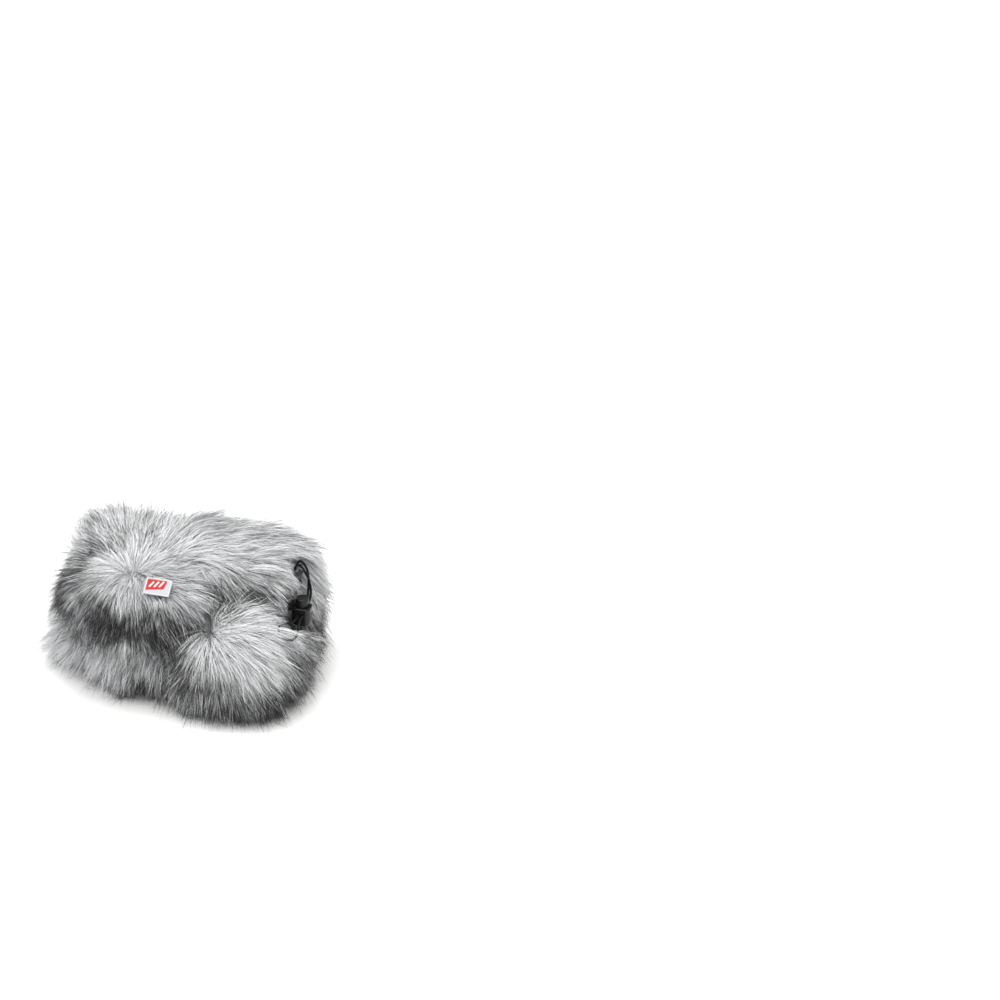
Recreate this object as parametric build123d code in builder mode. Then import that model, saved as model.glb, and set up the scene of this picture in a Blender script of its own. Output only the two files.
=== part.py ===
"""Folded fur windscreen: a closed sleeve in three runs, with a drawcord mouth and a cord lock."""

from build123d import *
import math
import os

os.makedirs("parts", exist_ok=True)

# --- what the sleeve fits, and the cloth it is made of -------------------------------------
basket_diameter = 100.0        # tubular microphone basket that the sleeve pulls over
bore_slack = 6.0               # how much wider the sleeve is than the basket
knit_thickness = 1.2           # knitted backing of the fur cloth
inner_gap = 2.6                # air left between the two layers of the flattened sleeve
pile_depth = 20.2              # pile lying down, on the flat of a run
edge_pile_depth = 10.5         # pile beyond the flattened edges
edge_crown = 0.84              # thickness at a run's shoulder over thickness at its middle

# --- the fold ------------------------------------------------------------------------------
turn_spacing = 154.0           # between the axes of the two U-turns
fold_gap = 0.6                 # between one run's pile and the next one's
base_press = 3.0               # how far the pile's own weight flattens it underneath
nose_reach = 62.0              # closed end, from the end seam to its tip
nose_seam_x = -70.0            # end seam on the bottom run
mouth_overrun = 26.0           # how far the top run carries on past the right-hand turn axis

# --- mouth hem and drawcord ------------------------------------------------------------------
hem_width = 14.0
hem_wall = 4.4
cord_diameter = 2.4
cord_clearance = 0.3
eyelet_diameter = 5.2
eyelet_spacing = 6.0
eyelet_y = 38.0
stitch_diameter = 0.6
stitch_length = 2.6
stitch_pitch = 7.0

# --- cord lock -------------------------------------------------------------------------------
lock_width = 19.0
lock_depth = 16.0
lock_height = 19.0
lock_corner = 5.0
plunger_diameter = 11.6
plunger_head_diameter = 13.4
plunger_head_height = 5.6
plunger_travel = 3.8
plunger_clearance = 0.35
lock_floor = 2.6
spring_wire = 0.7
spring_diameter = 7.6
spring_turns = 4.5

# --- label -----------------------------------------------------------------------------------
label_length = 26.0
label_width = 17.0
label_thickness = 0.9
label_tilt = 40.0
label_x = -4.0
label_inset = 31.0              # label's middle, in from the front edge of the pile
label_lift = 4.4
print_thickness = 0.25
slot_clearance = 0.4

# --- sizes that follow -----------------------------------------------------------------------
flat_width = math.pi * (basket_diameter + bore_slack) / 2.0 + 2.0 * knit_thickness
core_thickness = inner_gap + 2.0 * knit_thickness
run_half = core_thickness / 2.0 + pile_depth
run_pitch = 2.0 * run_half + fold_gap
half_depth = flat_width / 2.0 + edge_pile_depth
label_y = label_inset - half_depth
run_z = [run_half - base_press + i * run_pitch for i in range(3)]
turn_radius = run_pitch / 2.0
right_axis_x = nose_seam_x + turn_spacing
left_axis_x = right_axis_x - turn_spacing
nose_tip_x = nose_seam_x - nose_reach
right_end_x = right_axis_x + turn_radius + run_half
# the whole bundle is moved along X so that the origin lies under the middle of its box
shift_x = -(nose_tip_x + right_end_x) / 2.0
seam_x = nose_seam_x + shift_x
axis_right = right_axis_x + shift_x
axis_left = left_axis_x + shift_x
tip_x = nose_tip_x + shift_x
mouth_x = axis_right + mouth_overrun
hem_x = mouth_x - hem_width / 2.0
pile_end_x = mouth_x - hem_width


def run_profile(half_width, half_thickness):
    """Crowned outline of a run of fur, drawn around the current location."""
    shoulder = half_width - half_thickness * 0.9
    edge = half_thickness * edge_crown
    with BuildLine() as outline:
        ThreePointArc((-shoulder, edge), (0, half_thickness), (shoulder, edge))
        ThreePointArc((shoulder, edge), (half_width, 0), (shoulder, -edge))
        ThreePointArc((shoulder, -edge), (0, -half_thickness), (-shoulder, -edge))
        ThreePointArc((-shoulder, -edge), (-half_width, 0), (-shoulder, edge))
    make_face(outline.edges())


def slot_profile(width, height, hole=None):
    """Flattened tube: a slot, with a smaller slot taken out when hole gives its size."""
    SlotOverall(width, height)
    if hole:
        SlotOverall(hole[0], hole[1], mode=Mode.SUBTRACT)


def across(x, z):
    """Plane square to the runs, with its origin at (x, 0, z)."""
    return Plane(origin=(x, 0, z), x_dir=(0, 1, 0), z_dir=(1, 0, 0))


def folded(profile, args, start_x, end_x, dz=0.0, mode=Mode.ADD):
    """Carry a profile along the three runs and round the two turns of the fold."""
    for x0, x1, z in ((axis_left, end_x, run_z[2]), (axis_left, axis_right, run_z[1]),
                      (start_x, axis_right, run_z[0])):
        flip = -1.0 if z == run_z[1] else 1.0
        with BuildSketch(across(x0, z + flip * dz)) as run_face:
            profile(*args)
        extrude(run_face.sketch, amount=x1 - x0, mode=mode)
    for x, z in ((axis_left, (run_z[1] + run_z[2]) / 2), (axis_right, (run_z[0] + run_z[1]) / 2)):
        with BuildSketch(across(x, run_z[1] - dz)) as turn_face:
            profile(*args)
        revolve(turn_face.sketch, axis=Axis((x, 0, z), (0, 1, 0)), revolution_arc=180, mode=mode)


core_size = (flat_width, core_thickness)
cavity_size = (flat_width - 2 * knit_thickness, inner_gap)

# ================================ the fur cloth ============================================
with BuildPart() as body_knit:
    folded(slot_profile, (*core_size, cavity_size), seam_x, mouth_x)
body_knit.part.label = "body_knit_backing"

label_plane = Plane(
    origin=(label_x, label_y, run_z[2] + run_half * 0.93 + label_lift),
    x_dir=(1, 0, 0),
    z_dir=(0, -math.sin(math.radians(label_tilt)), math.cos(math.radians(label_tilt))),
)
tab_y = label_width / 2.0 - 2.0
tab_at = label_y + tab_y * math.cos(math.radians(label_tilt))

with BuildPart() as body_pile:
    folded(run_profile, (half_depth, run_half), seam_x, pile_end_x)
    folded(slot_profile, core_size, seam_x, mouth_x, mode=Mode.SUBTRACT)
    with Locations((0, 0, -run_half)):
        Box(4 * half_depth, 4 * half_depth, 2 * run_half, mode=Mode.SUBTRACT)
    # the slit that the label's tail goes down through, to the backing
    with BuildSketch(Plane.XY.offset(run_z[2] + core_thickness / 2.0)):
        with Locations((label_x, tab_at)):
            Rectangle(label_length * 0.7 + 2 * slot_clearance, label_thickness + 2 * slot_clearance)
    extrude(amount=2 * pile_depth, mode=Mode.SUBTRACT)
body_pile.part.label = "body_fur_pile"

with BuildPart() as nose_knit:
    with BuildSketch(Plane.XY.offset(run_z[0] - core_thickness / 2.0)):
        with Locations((seam_x, 0)):
            Ellipse(nose_reach - edge_pile_depth, flat_width / 2.0)
        with Locations((seam_x + flat_width, 0)):
            Rectangle(2 * flat_width, 2 * flat_width, mode=Mode.SUBTRACT)
    extrude(amount=core_thickness)
    with BuildSketch(Plane.XY.offset(run_z[0] - inner_gap / 2.0)):
        with Locations((seam_x, 0)):
            Ellipse(nose_reach - edge_pile_depth - knit_thickness, flat_width / 2.0 - knit_thickness)
        with Locations((seam_x + flat_width, 0)):
            Rectangle(2 * flat_width, 2 * flat_width, mode=Mode.SUBTRACT)
    extrude(amount=inner_gap, mode=Mode.SUBTRACT)
nose_knit.part.label = "nose_knit_backing"

with BuildPart() as nose_pile:
    Sphere(1.0)
    scale(by=(nose_reach, half_depth, run_half))
    split(bisect_by=Plane.YZ, keep=Keep.BOTTOM)
nose_half = nose_pile.part.moved(Location((seam_x, 0, run_z[0])))
with BuildPart() as nose_pile:
    add(nose_half)
    with BuildSketch(Plane.XY.offset(run_z[0] - core_thickness / 2.0)):
        with Locations((seam_x, 0)):
            Ellipse(nose_reach - edge_pile_depth, flat_width / 2.0)
    extrude(amount=core_thickness, mode=Mode.SUBTRACT)
    with Locations((0, 0, -run_half)):
        Box(4 * half_depth, 4 * half_depth, 2 * run_half, mode=Mode.SUBTRACT)
nose_pile.part.label = "nose_fur_pile"

# ================================ seams ======================================================
tape_thickness = 0.8
tape_width = 10.0
end_tape_length = 8.0
with BuildPart() as long_seam:
    folded(Rectangle, (tape_width, tape_thickness), seam_x + end_tape_length, mouth_x - hem_width,
           dz=(inner_gap - tape_thickness) / 2.0)
long_seam.part.label = "long_seam_tape"

with BuildPart() as end_seam:
    with BuildSketch(Plane.YZ.offset(seam_x)):
        with Locations((0, run_z[0])):
            slot_profile(*cavity_size,
                         hole=(cavity_size[0] - 2 * tape_thickness, inner_gap - 2 * tape_thickness))
    extrude(amount=end_tape_length)
end_seam.part.label = "end_seam_tape"

# ================================ mouth hem ==================================================
hem_outer = (flat_width + 2 * hem_wall, core_thickness + 2 * hem_wall)
channel = cord_diameter + 2 * cord_clearance
ring_w = flat_width + hem_wall
ring_h = core_thickness + hem_wall
eyelet_ys = (eyelet_y + eyelet_spacing / 2.0, eyelet_y - eyelet_spacing / 2.0)
hem_top_z = run_z[2] + hem_outer[1] / 2.0

with BuildPart() as hem:
    with BuildSketch(Plane.YZ.offset(mouth_x - hem_width)):
        with Locations((0, run_z[2])):
            slot_profile(*hem_outer, hole=core_size)
    extrude(amount=hem_width)
    with BuildSketch(Plane.YZ.offset(hem_x - channel / 2.0)):
        with Locations((0, run_z[2])):
            slot_profile(ring_w + channel, ring_h + channel, hole=(ring_w - channel, ring_h - channel))
    extrude(amount=channel, mode=Mode.SUBTRACT)
    with BuildSketch(Plane.XY.offset(run_z[2] + ring_h / 2.0)):
        with Locations(*[(hem_x, y) for y in eyelet_ys]):
            Circle(eyelet_diameter / 2.0 - 0.9)
    extrude(amount=hem_wall, mode=Mode.SUBTRACT)
hem.part.label = "mouth_hem_channel"

with BuildPart() as eyelets:
    with BuildSketch(Plane.XY.offset(hem_top_z)):
        with Locations(*[(hem_x, y) for y in eyelet_ys]):
            Circle(eyelet_diameter / 2.0)
            Circle(cord_diameter / 2.0 + cord_clearance, mode=Mode.SUBTRACT)
    extrude(amount=0.8)
eyelets.part.label = "hem_eyelets"

stitch_count = int(flat_width * 0.9 / stitch_pitch)
stitch_rows = [pile_end_x + 1.8, mouth_x - 1.8]
stitch_ys = [(i - (stitch_count - 1) / 2.0) * stitch_pitch for i in range(stitch_count)]
with BuildPart() as hem_stitches:
    for z in (hem_top_z, run_z[2] - hem_outer[1] / 2.0):
        with BuildSketch(Plane.XY.offset(z if z == hem_top_z else z - stitch_diameter / 2.0)):
            with Locations(*[(x, y) for x in stitch_rows for y in stitch_ys]):
                SlotOverall(stitch_length, stitch_diameter, rotation=90)
        extrude(amount=stitch_diameter / 2.0)
hem_stitches.part.label = "hem_stitches"

# ================================ cord lock ==================================================
lock_x = axis_right + 35.8
lock_y = 6.0
lock_base_z = run_z[1] + run_half - 7.5
lock_slide_back = 6.0
lock_slide_front = 4.0
bore_diameter = plunger_diameter + 2 * plunger_clearance
strand_gap = 0.8
strand_dx = (cord_diameter + strand_gap) / 2.0
slot_long = 2 * cord_diameter + strand_gap + 2 * cord_clearance
slot_high = cord_diameter + 2 * cord_clearance + plunger_travel
cord_z = lock_base_z + 11.4
body_slot_z = cord_z + cord_diameter / 2.0 + cord_clearance - slot_high / 2.0
plunger_slot_z = cord_z - cord_diameter / 2.0 - cord_clearance + slot_high / 2.0
plunger_base_z = lock_base_z + lock_floor + plunger_travel + 1.4
lock_top_z = lock_base_z + lock_height
head_base_z = lock_top_z + plunger_travel + 0.4

with BuildPart() as lock_body:
    with BuildSketch(Plane.XY.offset(lock_base_z)):
        with Locations((lock_x, lock_y)):
            RectangleRounded(lock_width, lock_depth, lock_corner)
    extrude(amount=lock_height)
    fillet(lock_body.faces().sort_by(Axis.Z)[0].edges(), radius=2.2)
    fillet(lock_body.faces().sort_by(Axis.Z)[-1].edges(), radius=1.0)
    with BuildSketch(Plane.XY.offset(lock_base_z + lock_floor)):
        with Locations((lock_x, lock_y)):
            Circle(bore_diameter / 2.0)
    extrude(amount=lock_height, mode=Mode.SUBTRACT)
    with BuildSketch(Plane.XZ.offset(-lock_y)):
        with Locations((lock_x, body_slot_z)):
            RectangleRounded(slot_long, slot_high, 1.2)
    extrude(amount=lock_depth, both=True, mode=Mode.SUBTRACT)
    # finger ribs on the two broad sides
    for side in (-1, 1):
        with Locations(*[(lock_x + side * lock_width / 2.0, lock_y, lock_base_z + 5.0 + 2.6 * i)
                         for i in range(4)]):
            Box(0.7, lock_depth * 0.45, 1.1)
lock_body.part.label = "cord_lock_body"

with BuildPart() as plunger:
    with BuildSketch(Plane.XY.offset(plunger_base_z)):
        with Locations((lock_x, lock_y)):
            Circle(plunger_diameter / 2.0)
    extrude(amount=head_base_z - plunger_base_z)
    with BuildSketch(Plane.XY.offset(head_base_z)):
        with Locations((lock_x, lock_y)):
            Circle(plunger_head_diameter / 2.0)
    extrude(amount=plunger_head_height)
    fillet(plunger.faces().sort_by(Axis.Z)[-1].edges(), radius=1.8)
    with BuildSketch(Plane.XZ.offset(-lock_y)):
        with Locations((lock_x, plunger_slot_z)):
            RectangleRounded(slot_long, slot_high, 1.2)
    extrude(amount=lock_depth, both=True, mode=Mode.SUBTRACT)
    with BuildSketch(Plane.XY.offset(plunger_base_z)):
        with Locations((lock_x, lock_y)):
            Circle(spring_diameter / 2.0 + 0.6)
    extrude(amount=1.2, mode=Mode.SUBTRACT)
plunger.part.label = "cord_lock_plunger"

spring_bottom = lock_base_z + lock_floor
spring_top = plunger_base_z + 1.2
spring_height = spring_top - spring_bottom - spring_wire
with BuildPart() as spring:
    with BuildLine() as coil:
        Helix(pitch=spring_height / spring_turns, height=spring_height,
              radius=(spring_diameter - spring_wire) / 2.0)
    with BuildSketch(Plane(origin=coil.line @ 0, z_dir=coil.line % 0)):
        Circle(spring_wire / 2.0)
    sweep(is_frenet=True)
spring_solid = spring.part.moved(Location((lock_x, lock_y, spring_bottom + spring_wire / 2.0)))
with BuildPart() as spring:
    add(spring_solid)
spring.part.label = "cord_lock_spring"

# ================================ drawcord ===================================================
ring_gap = eyelet_spacing
with BuildPart() as hem_cord:
    r_end = ring_h / 2.0
    straight = ring_w / 2.0 - r_end
    with BuildLine(Plane.YZ.offset(hem_x)) as ring_path:
        z0 = run_z[2]
        Line((eyelet_ys[0], z0 + r_end), (straight, z0 + r_end))
        ThreePointArc((straight, z0 + r_end), (straight + r_end, z0), (straight, z0 - r_end))
        Line((straight, z0 - r_end), (-straight, z0 - r_end))
        ThreePointArc((-straight, z0 - r_end), (-straight - r_end, z0), (-straight, z0 + r_end))
        Line((-straight, z0 + r_end), (eyelet_ys[1], z0 + r_end))
    with BuildSketch(Plane(origin=(hem_x, eyelet_ys[0], z0 + r_end), z_dir=(0, 1, 0))):
        Circle(cord_diameter / 2.0)
    sweep()
hem_cord.part.label = "drawcord_in_hem"

# route of the free loop: out of one eyelet, over the mouth's edge, through the lock, round, and back
exit_z = run_z[2] + ring_h / 2.0
ax = lock_x - strand_dx
bx = lock_x + strand_dx
turn_top_z = run_z[1] + run_half
back_y = lock_y + lock_depth / 2.0
front_y = lock_y - lock_depth / 2.0
lap_z = turn_top_z + cord_diameter
route = [
    (hem_x, eyelet_ys[0], exit_z),
    (hem_x + 0.3, eyelet_ys[0] + 0.3, exit_z + 10.5),
    (hem_x + 5.8, eyelet_ys[0] - 0.8, exit_z + 15.0),
    (mouth_x + 6.5, eyelet_ys[0] - 3.0, exit_z + 6.0),
    (ax, back_y + lock_slide_back + 15.0, cord_z + 12.0),
    (ax, back_y + lock_slide_back + 8.0, cord_z),
    (ax, front_y - lock_slide_front - 7.5, cord_z),
    (ax - 6.0, front_y - 21.5, lap_z + 2.5),
    (hem_x + 1.0, front_y - 33.0, lap_z),
    (hem_x + 4.5, front_y - 47.0, lap_z - 3.0),
    (bx - 4.0, front_y - 49.0, lap_z - 8.0),
    (bx + 2.5, front_y - 37.5, lap_z - 11.0),
    (bx + 3.0, front_y - 22.0, lap_z - 6.0),
    (bx, front_y - lock_slide_front - 7.0, cord_z),
    (bx, back_y + lock_slide_back + 7.0, cord_z),
    (bx + 0.5, back_y + lock_slide_back + 12.0, cord_z + 13.0),
    (mouth_x + 7.0, eyelet_ys[1] - 2.5, exit_z + 4.0),
    (hem_x + 5.8, eyelet_ys[1] - 0.8, exit_z + 13.5),
    (hem_x + 0.3, eyelet_ys[1] - 0.3, exit_z + 10.0),
    (hem_x, eyelet_ys[1], exit_z),
]


def corner_radii(points):
    """Radius at each inner point: 0.45 of the shorter run over the tangent of half the turn."""
    radii = []
    for before, here, after in zip(points, points[1:], points[2:]):
        into, out = Vector(*here) - Vector(*before), Vector(*after) - Vector(*here)
        turn = math.radians(into.get_angle(out))
        radii.append(0.45 * min(into.length, out.length) / math.tan(turn / 2.0))
    return radii


with BuildPart() as drawcord:
    radii = corner_radii(route)
    with BuildLine() as cord_line:
        FilletPolyline(*route, radius=radii)
    with BuildSketch(Plane(origin=cord_line.line @ 0, z_dir=cord_line.line % 0)):
        Circle(cord_diameter / 2.0)
    sweep()
drawcord.part.label = "drawcord"
cord_length = cord_line.wires()[0].length
section = math.pi * cord_diameter**2 / 4.0
print("drawcord corner radii:", [round(r, 1) for r in radii])
print("drawcord length %.1f mm, volume over section x length %.4f"
      % (cord_length, drawcord.part.volume / (section * cord_length)))

# ================================ label ======================================================
with BuildPart() as label:
    with BuildSketch(label_plane):
        RectangleRounded(label_length, label_width, 0.8)
    extrude(amount=label_thickness)
    tab_top = label_plane.from_local_coords((0, tab_y, 0)).Z
    with BuildSketch(Plane.XY.offset(run_z[2] + core_thickness / 2.0)):
        with Locations((label_x, tab_at)):
            Rectangle(label_length * 0.7, label_thickness)
    extrude(amount=tab_top + label_thickness * 0.6 - run_z[2] - core_thickness / 2.0)
label.part.label = "label_ribbon"

border_width = 1.1
with BuildPart() as label_border:
    with BuildSketch(label_plane.offset(label_thickness)):
        RectangleRounded(label_length - 0.6, label_width - 0.6, 0.7)
        RectangleRounded(label_length - 0.6 - 2 * border_width, label_width - 0.6 - 2 * border_width,
                         0.4, mode=Mode.SUBTRACT)
    extrude(amount=print_thickness)
label_border.part.label = "label_woven_border"

fx = label_length / 2.0 - border_width - 0.7
fy = label_width / 2.0 - border_width - 0.7
with BuildPart() as label_field:
    with BuildSketch(label_plane.offset(label_thickness)):
        with BuildLine():
            Polyline((-fx, -fy + 2.0), (-fx, fy), (fx - 3.0, fy), (fx - 5.0, -fy + 5.0), (-fx, -fy + 2.0))
        make_face()
    extrude(amount=print_thickness)
label_field.part.label = "label_red_field"

with BuildPart() as label_motif:
    with BuildSketch(label_plane.offset(label_thickness + print_thickness)):
        with Locations((-6.6, 1.6), (-1.6, 2.2), (3.2, 2.8)):
            SlotOverall(7.2, 1.7, rotation=58)
    extrude(amount=print_thickness)
label_motif.part.label = "label_white_motif"

with BuildPart() as label_tacks:
    with BuildSketch(label_plane.offset(label_thickness + print_thickness)):
        with Locations(*[(i * 3.2 - 8.0, fy + 1.0) for i in range(6)]):
            SlotOverall(2.0, 0.5)
    extrude(amount=print_thickness)
label_tacks.part.label = "label_tack_stitches"

pieces = [body_knit, body_pile, nose_knit, nose_pile, long_seam, end_seam, hem, eyelets, hem_stitches,
          lock_body, plunger, spring, hem_cord, drawcord, label, label_border, label_field,
          label_motif, label_tacks]
for piece in pieces:
    export_step(piece.part, "parts/" + piece.part.label + ".step")
    box = piece.part.bounding_box()
    print("%-22s vol %10.1f  x %7.2f %7.2f  y %7.2f %7.2f  z %7.2f %7.2f  solids %d" % (
        piece.part.label, piece.part.volume, box.min.X, box.max.X, box.min.Y, box.max.Y,
        box.min.Z, box.max.Z, len(piece.part.solids())))
print("lock", lock_x, lock_y, lock_base_z, "cord_z", cord_z, "slots", body_slot_z, plunger_slot_z)
print("axes", axis_left, axis_right, "mouth", mouth_x, "hem", hem_x, "run_z", run_z)
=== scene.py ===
"""Folded long-pile fur windscreen: knitted sleeve, underfur, standing pile, hem, drawcord, lock and label.

The sleeve is folded in three runs and lies on its lowest run. Each run bulges as a soft lobe; the pile is
real geometry, thin tapering ribbons rooted on those lobes, combed along a flow field and gathered in locks.
"""
import logging
import math
from dataclasses import dataclass, field
from enum import Enum

import bpy
import numpy as np
from mathutils import Matrix, Vector


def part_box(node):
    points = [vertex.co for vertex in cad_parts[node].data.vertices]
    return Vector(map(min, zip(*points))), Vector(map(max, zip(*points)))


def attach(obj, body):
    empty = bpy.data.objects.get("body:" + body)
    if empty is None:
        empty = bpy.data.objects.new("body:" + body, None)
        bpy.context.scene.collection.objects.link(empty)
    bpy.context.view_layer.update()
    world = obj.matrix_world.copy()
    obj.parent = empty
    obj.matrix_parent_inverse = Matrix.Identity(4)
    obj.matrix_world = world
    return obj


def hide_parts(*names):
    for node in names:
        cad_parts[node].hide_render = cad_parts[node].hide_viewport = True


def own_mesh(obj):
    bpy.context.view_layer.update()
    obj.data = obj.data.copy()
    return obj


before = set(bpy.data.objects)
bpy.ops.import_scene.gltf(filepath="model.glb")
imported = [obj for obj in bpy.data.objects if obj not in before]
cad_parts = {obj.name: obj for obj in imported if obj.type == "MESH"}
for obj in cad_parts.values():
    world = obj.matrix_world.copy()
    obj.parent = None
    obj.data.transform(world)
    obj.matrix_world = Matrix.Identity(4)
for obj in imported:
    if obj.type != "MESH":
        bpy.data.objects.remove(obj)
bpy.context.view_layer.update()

LOG = logging.getLogger("windscreen")
MM = 0.001
DOWN = np.array([0.0, 0.0, -1.0])
ALONG_X = np.array([1.0, 0.0, 0.0])
BODY = "sleeve"


# ------------------------------------------------------------------------------------------
# small numeric helpers
# ------------------------------------------------------------------------------------------
def unit(v: np.ndarray) -> np.ndarray:
    """Scale every row of v to length one."""
    return v / np.maximum(np.linalg.norm(v, axis=-1, keepdims=True), 1e-12)


def smoothstep(low: float, high: float, x: np.ndarray) -> np.ndarray:
    """Cubic ramp from 0 at low to 1 at high."""
    t = np.clip((x - low) / (high - low), 0.0, 1.0)
    return t * t * (3.0 - 2.0 * t)


def squared(v: np.ndarray, power: float) -> np.ndarray:
    """Sign of v times |v| to a power below 1, which squares off a circle's sine or cosine."""
    return np.sign(v) * np.abs(v) ** power


def rings(sides: int, across: np.ndarray, up: np.ndarray) -> np.ndarray:
    """Unit circles carried along a line: across cos(a) + up sin(a).

    Args:
        sides: points round.
        across: one direction a step, (steps, 3).
        up: the other direction, (steps, 3), or one for every step.

    Returns:
        Offsets from the line, (steps, sides, 3).
    """
    a = np.linspace(0.0, 2.0 * math.pi, sides, endpoint=False)
    return np.cos(a)[None, :, None] * across[:, None] + np.sin(a)[None, :, None] * up[..., None, :]


def ripple(p: np.ndarray, scale: float, seed: int, terms: int = 7) -> np.ndarray:
    """Smooth band-limited noise: a sum of sines of random direction, pitch near scale, and phase.

    Args:
        p: points, in metres, one a row.
        scale: the noise's usual pitch in metres.
        seed: picks the directions and phases.
        terms: how many sines are summed.

    Returns:
        One value a point, roughly from -1 to 1.
    """
    rng = np.random.default_rng(seed)
    direction = unit(rng.normal(size=(terms, 3)))
    pitch = scale * rng.uniform(0.6, 1.6, terms)
    phase = rng.uniform(0.0, 2.0 * math.pi, terms)
    return np.sin(p @ (direction / pitch[:, None]).T * 2.0 * math.pi + phase).sum(axis=1) / math.sqrt(terms)


def mesh_object(name: str, verts: np.ndarray, faces: np.ndarray, smooth: bool = True) -> bpy.types.Object:
    """Make a mesh object at the origin from whole arrays.

    Args:
        name: the piece's name.
        verts: vertex places, (n, 3), in metres.
        faces: vertex numbers, (m, 3) or (m, 4).
        smooth: whether faces are shaded smooth.

    Returns:
        The new object, linked to the scene.
    """
    mesh = bpy.data.meshes.new(name)
    corners = faces.shape[1]
    mesh.vertices.add(len(verts))
    mesh.vertices.foreach_set("co", np.ascontiguousarray(verts, dtype=np.float32).ravel())
    mesh.loops.add(faces.size)
    mesh.loops.foreach_set("vertex_index", np.ascontiguousarray(faces, dtype=np.int32).ravel())
    mesh.polygons.add(len(faces))
    mesh.polygons.foreach_set("loop_start", np.arange(0, faces.size, corners, dtype=np.int32))
    mesh.polygons.foreach_set("use_smooth", np.full(len(faces), smooth, dtype=bool))
    mesh.update(calc_edges=True)
    mesh.validate()
    obj = bpy.data.objects.new(name, mesh)
    bpy.context.scene.collection.objects.link(obj)
    return obj


def write_uv(obj: bpy.types.Object, uv: np.ndarray) -> None:
    """Give the mesh a UV map of its own, one pair for each face corner."""
    layer = obj.data.uv_layers.new(name="OFBake")
    layer.data.foreach_set("uv", np.ascontiguousarray(uv, dtype=np.float32).ravel())


def grid_faces(rows: int, cols: int, close_rows: bool = False, close_cols: bool = True) -> np.ndarray:
    """Quads of a rows by cols grid of points, wrapped round where asked.

    Args:
        rows: points one way.
        cols: points the other way.
        close_rows: whether the last row joins the first.
        close_cols: whether the last column joins the first.

    Returns:
        Vertex numbers, (n, 4).
    """
    r = np.arange(rows if close_rows else rows - 1)
    c = np.arange(cols if close_cols else cols - 1)
    i, j = np.meshgrid(r, c, indexing="ij")
    i2, j2 = (i + 1) % rows, (j + 1) % cols
    return np.stack([i * cols + j, i * cols + j2, i2 * cols + j2, i2 * cols + j], axis=-1).reshape(-1, 4)


# ------------------------------------------------------------------------------------------
# materials
# ------------------------------------------------------------------------------------------
def node(tree: bpy.types.NodeTree, kind: str, **values: object) -> bpy.types.Node:
    """Add a node and set the properties that are named.

    Args:
        tree: where it goes.
        kind: which type of node.
        values: its properties.

    Returns:
        The node.
    """
    made = tree.nodes.new(kind)
    for key, value in values.items():
        setattr(made, key, value)
    return made


def feed(tree: bpy.types.NodeTree, source: object, socket: bpy.types.NodeSocket) -> None:
    """Link a socket to an input, or set the input to a plain value.

    Args:
        tree: the tree that holds both.
        source: an output socket, or a value.
        socket: the input.
    """
    if isinstance(source, bpy.types.NodeSocket):
        tree.links.new(source, socket)
    else:
        socket.default_value = source


def math_node(tree: bpy.types.NodeTree, operation: str, *sources: object) -> bpy.types.NodeSocket:
    """Add a Math node.

    Args:
        tree: where it goes.
        operation: which operation, such as MULTIPLY.
        sources: numbers or sockets, one for each input in turn.

    Returns:
        Its output.
    """
    made = node(tree, "ShaderNodeMath", operation=operation)
    for socket, source in zip(made.inputs, sources):
        feed(tree, source, socket)
    return made.outputs[0]


def ramp(tree: bpy.types.NodeTree, value: object, low: object, high: object) -> bpy.types.NodeSocket:
    """Add a smooth ramp from 0 to 1.

    Args:
        tree: where it goes.
        value: what is mapped.
        low: where the ramp starts.
        high: where it ends.

    Returns:
        Its output.
    """
    made = node(tree, "ShaderNodeMapRange", interpolation_type="SMOOTHSTEP", clamp=True)
    for name, source in (("Value", value), ("From Min", low), ("From Max", high)):
        feed(tree, source, made.inputs[name])
    return made.outputs[0]


def mix_colour(tree: bpy.types.NodeTree, factor: object, a: object, b: object) -> bpy.types.NodeSocket:
    """Add a colour Mix node.

    Args:
        tree: where it goes.
        factor: 0 for the first colour, 1 for the second.
        a: first colour, three numbers or a socket.
        b: second colour, three numbers or a socket.

    Returns:
        Its output.
    """
    made = node(tree, "ShaderNodeMix", data_type="RGBA")
    feed(tree, factor, made.inputs[0])
    for index, colour in ((6, a), (7, b)):
        feed(tree, (*colour, 1.0) if isinstance(colour, tuple) else colour, made.inputs[index])
    return made.outputs[2]


def add_bump(tree: bpy.types.NodeTree, shader: bpy.types.Node, height: bpy.types.NodeSocket,
             bump_mm: float, strength: float) -> None:
    """Raise a shader's surface by a height.

    Args:
        tree: the material's tree.
        shader: its Principled shader.
        height: what raises it, 0 to 1.
        bump_mm: how high, in millimetres.
        strength: share of the bump that shows.
    """
    bump = tree.nodes.new("ShaderNodeBump")
    bump.inputs["Distance"].default_value = bump_mm * MM
    bump.inputs["Strength"].default_value = strength
    tree.links.new(height, bump.inputs["Height"])
    tree.links.new(bump.outputs[0], shader.inputs["Normal"])


def new_material(name: str) -> tuple[bpy.types.Material, bpy.types.NodeTree, bpy.types.Node]:
    """Make a material that holds one Principled shader, and return it, its tree and the shader.

    Args:
        name: its name.

    Returns:
        The material, its tree and its shader.
    """
    material = bpy.data.materials.new(name)
    material.use_nodes = True
    tree = material.node_tree
    tree.nodes.clear()
    shader = tree.nodes.new("ShaderNodeBsdfPrincipled")
    output = tree.nodes.new("ShaderNodeOutputMaterial")
    tree.links.new(shader.outputs[0], output.inputs[0])
    return material, tree, shader


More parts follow.
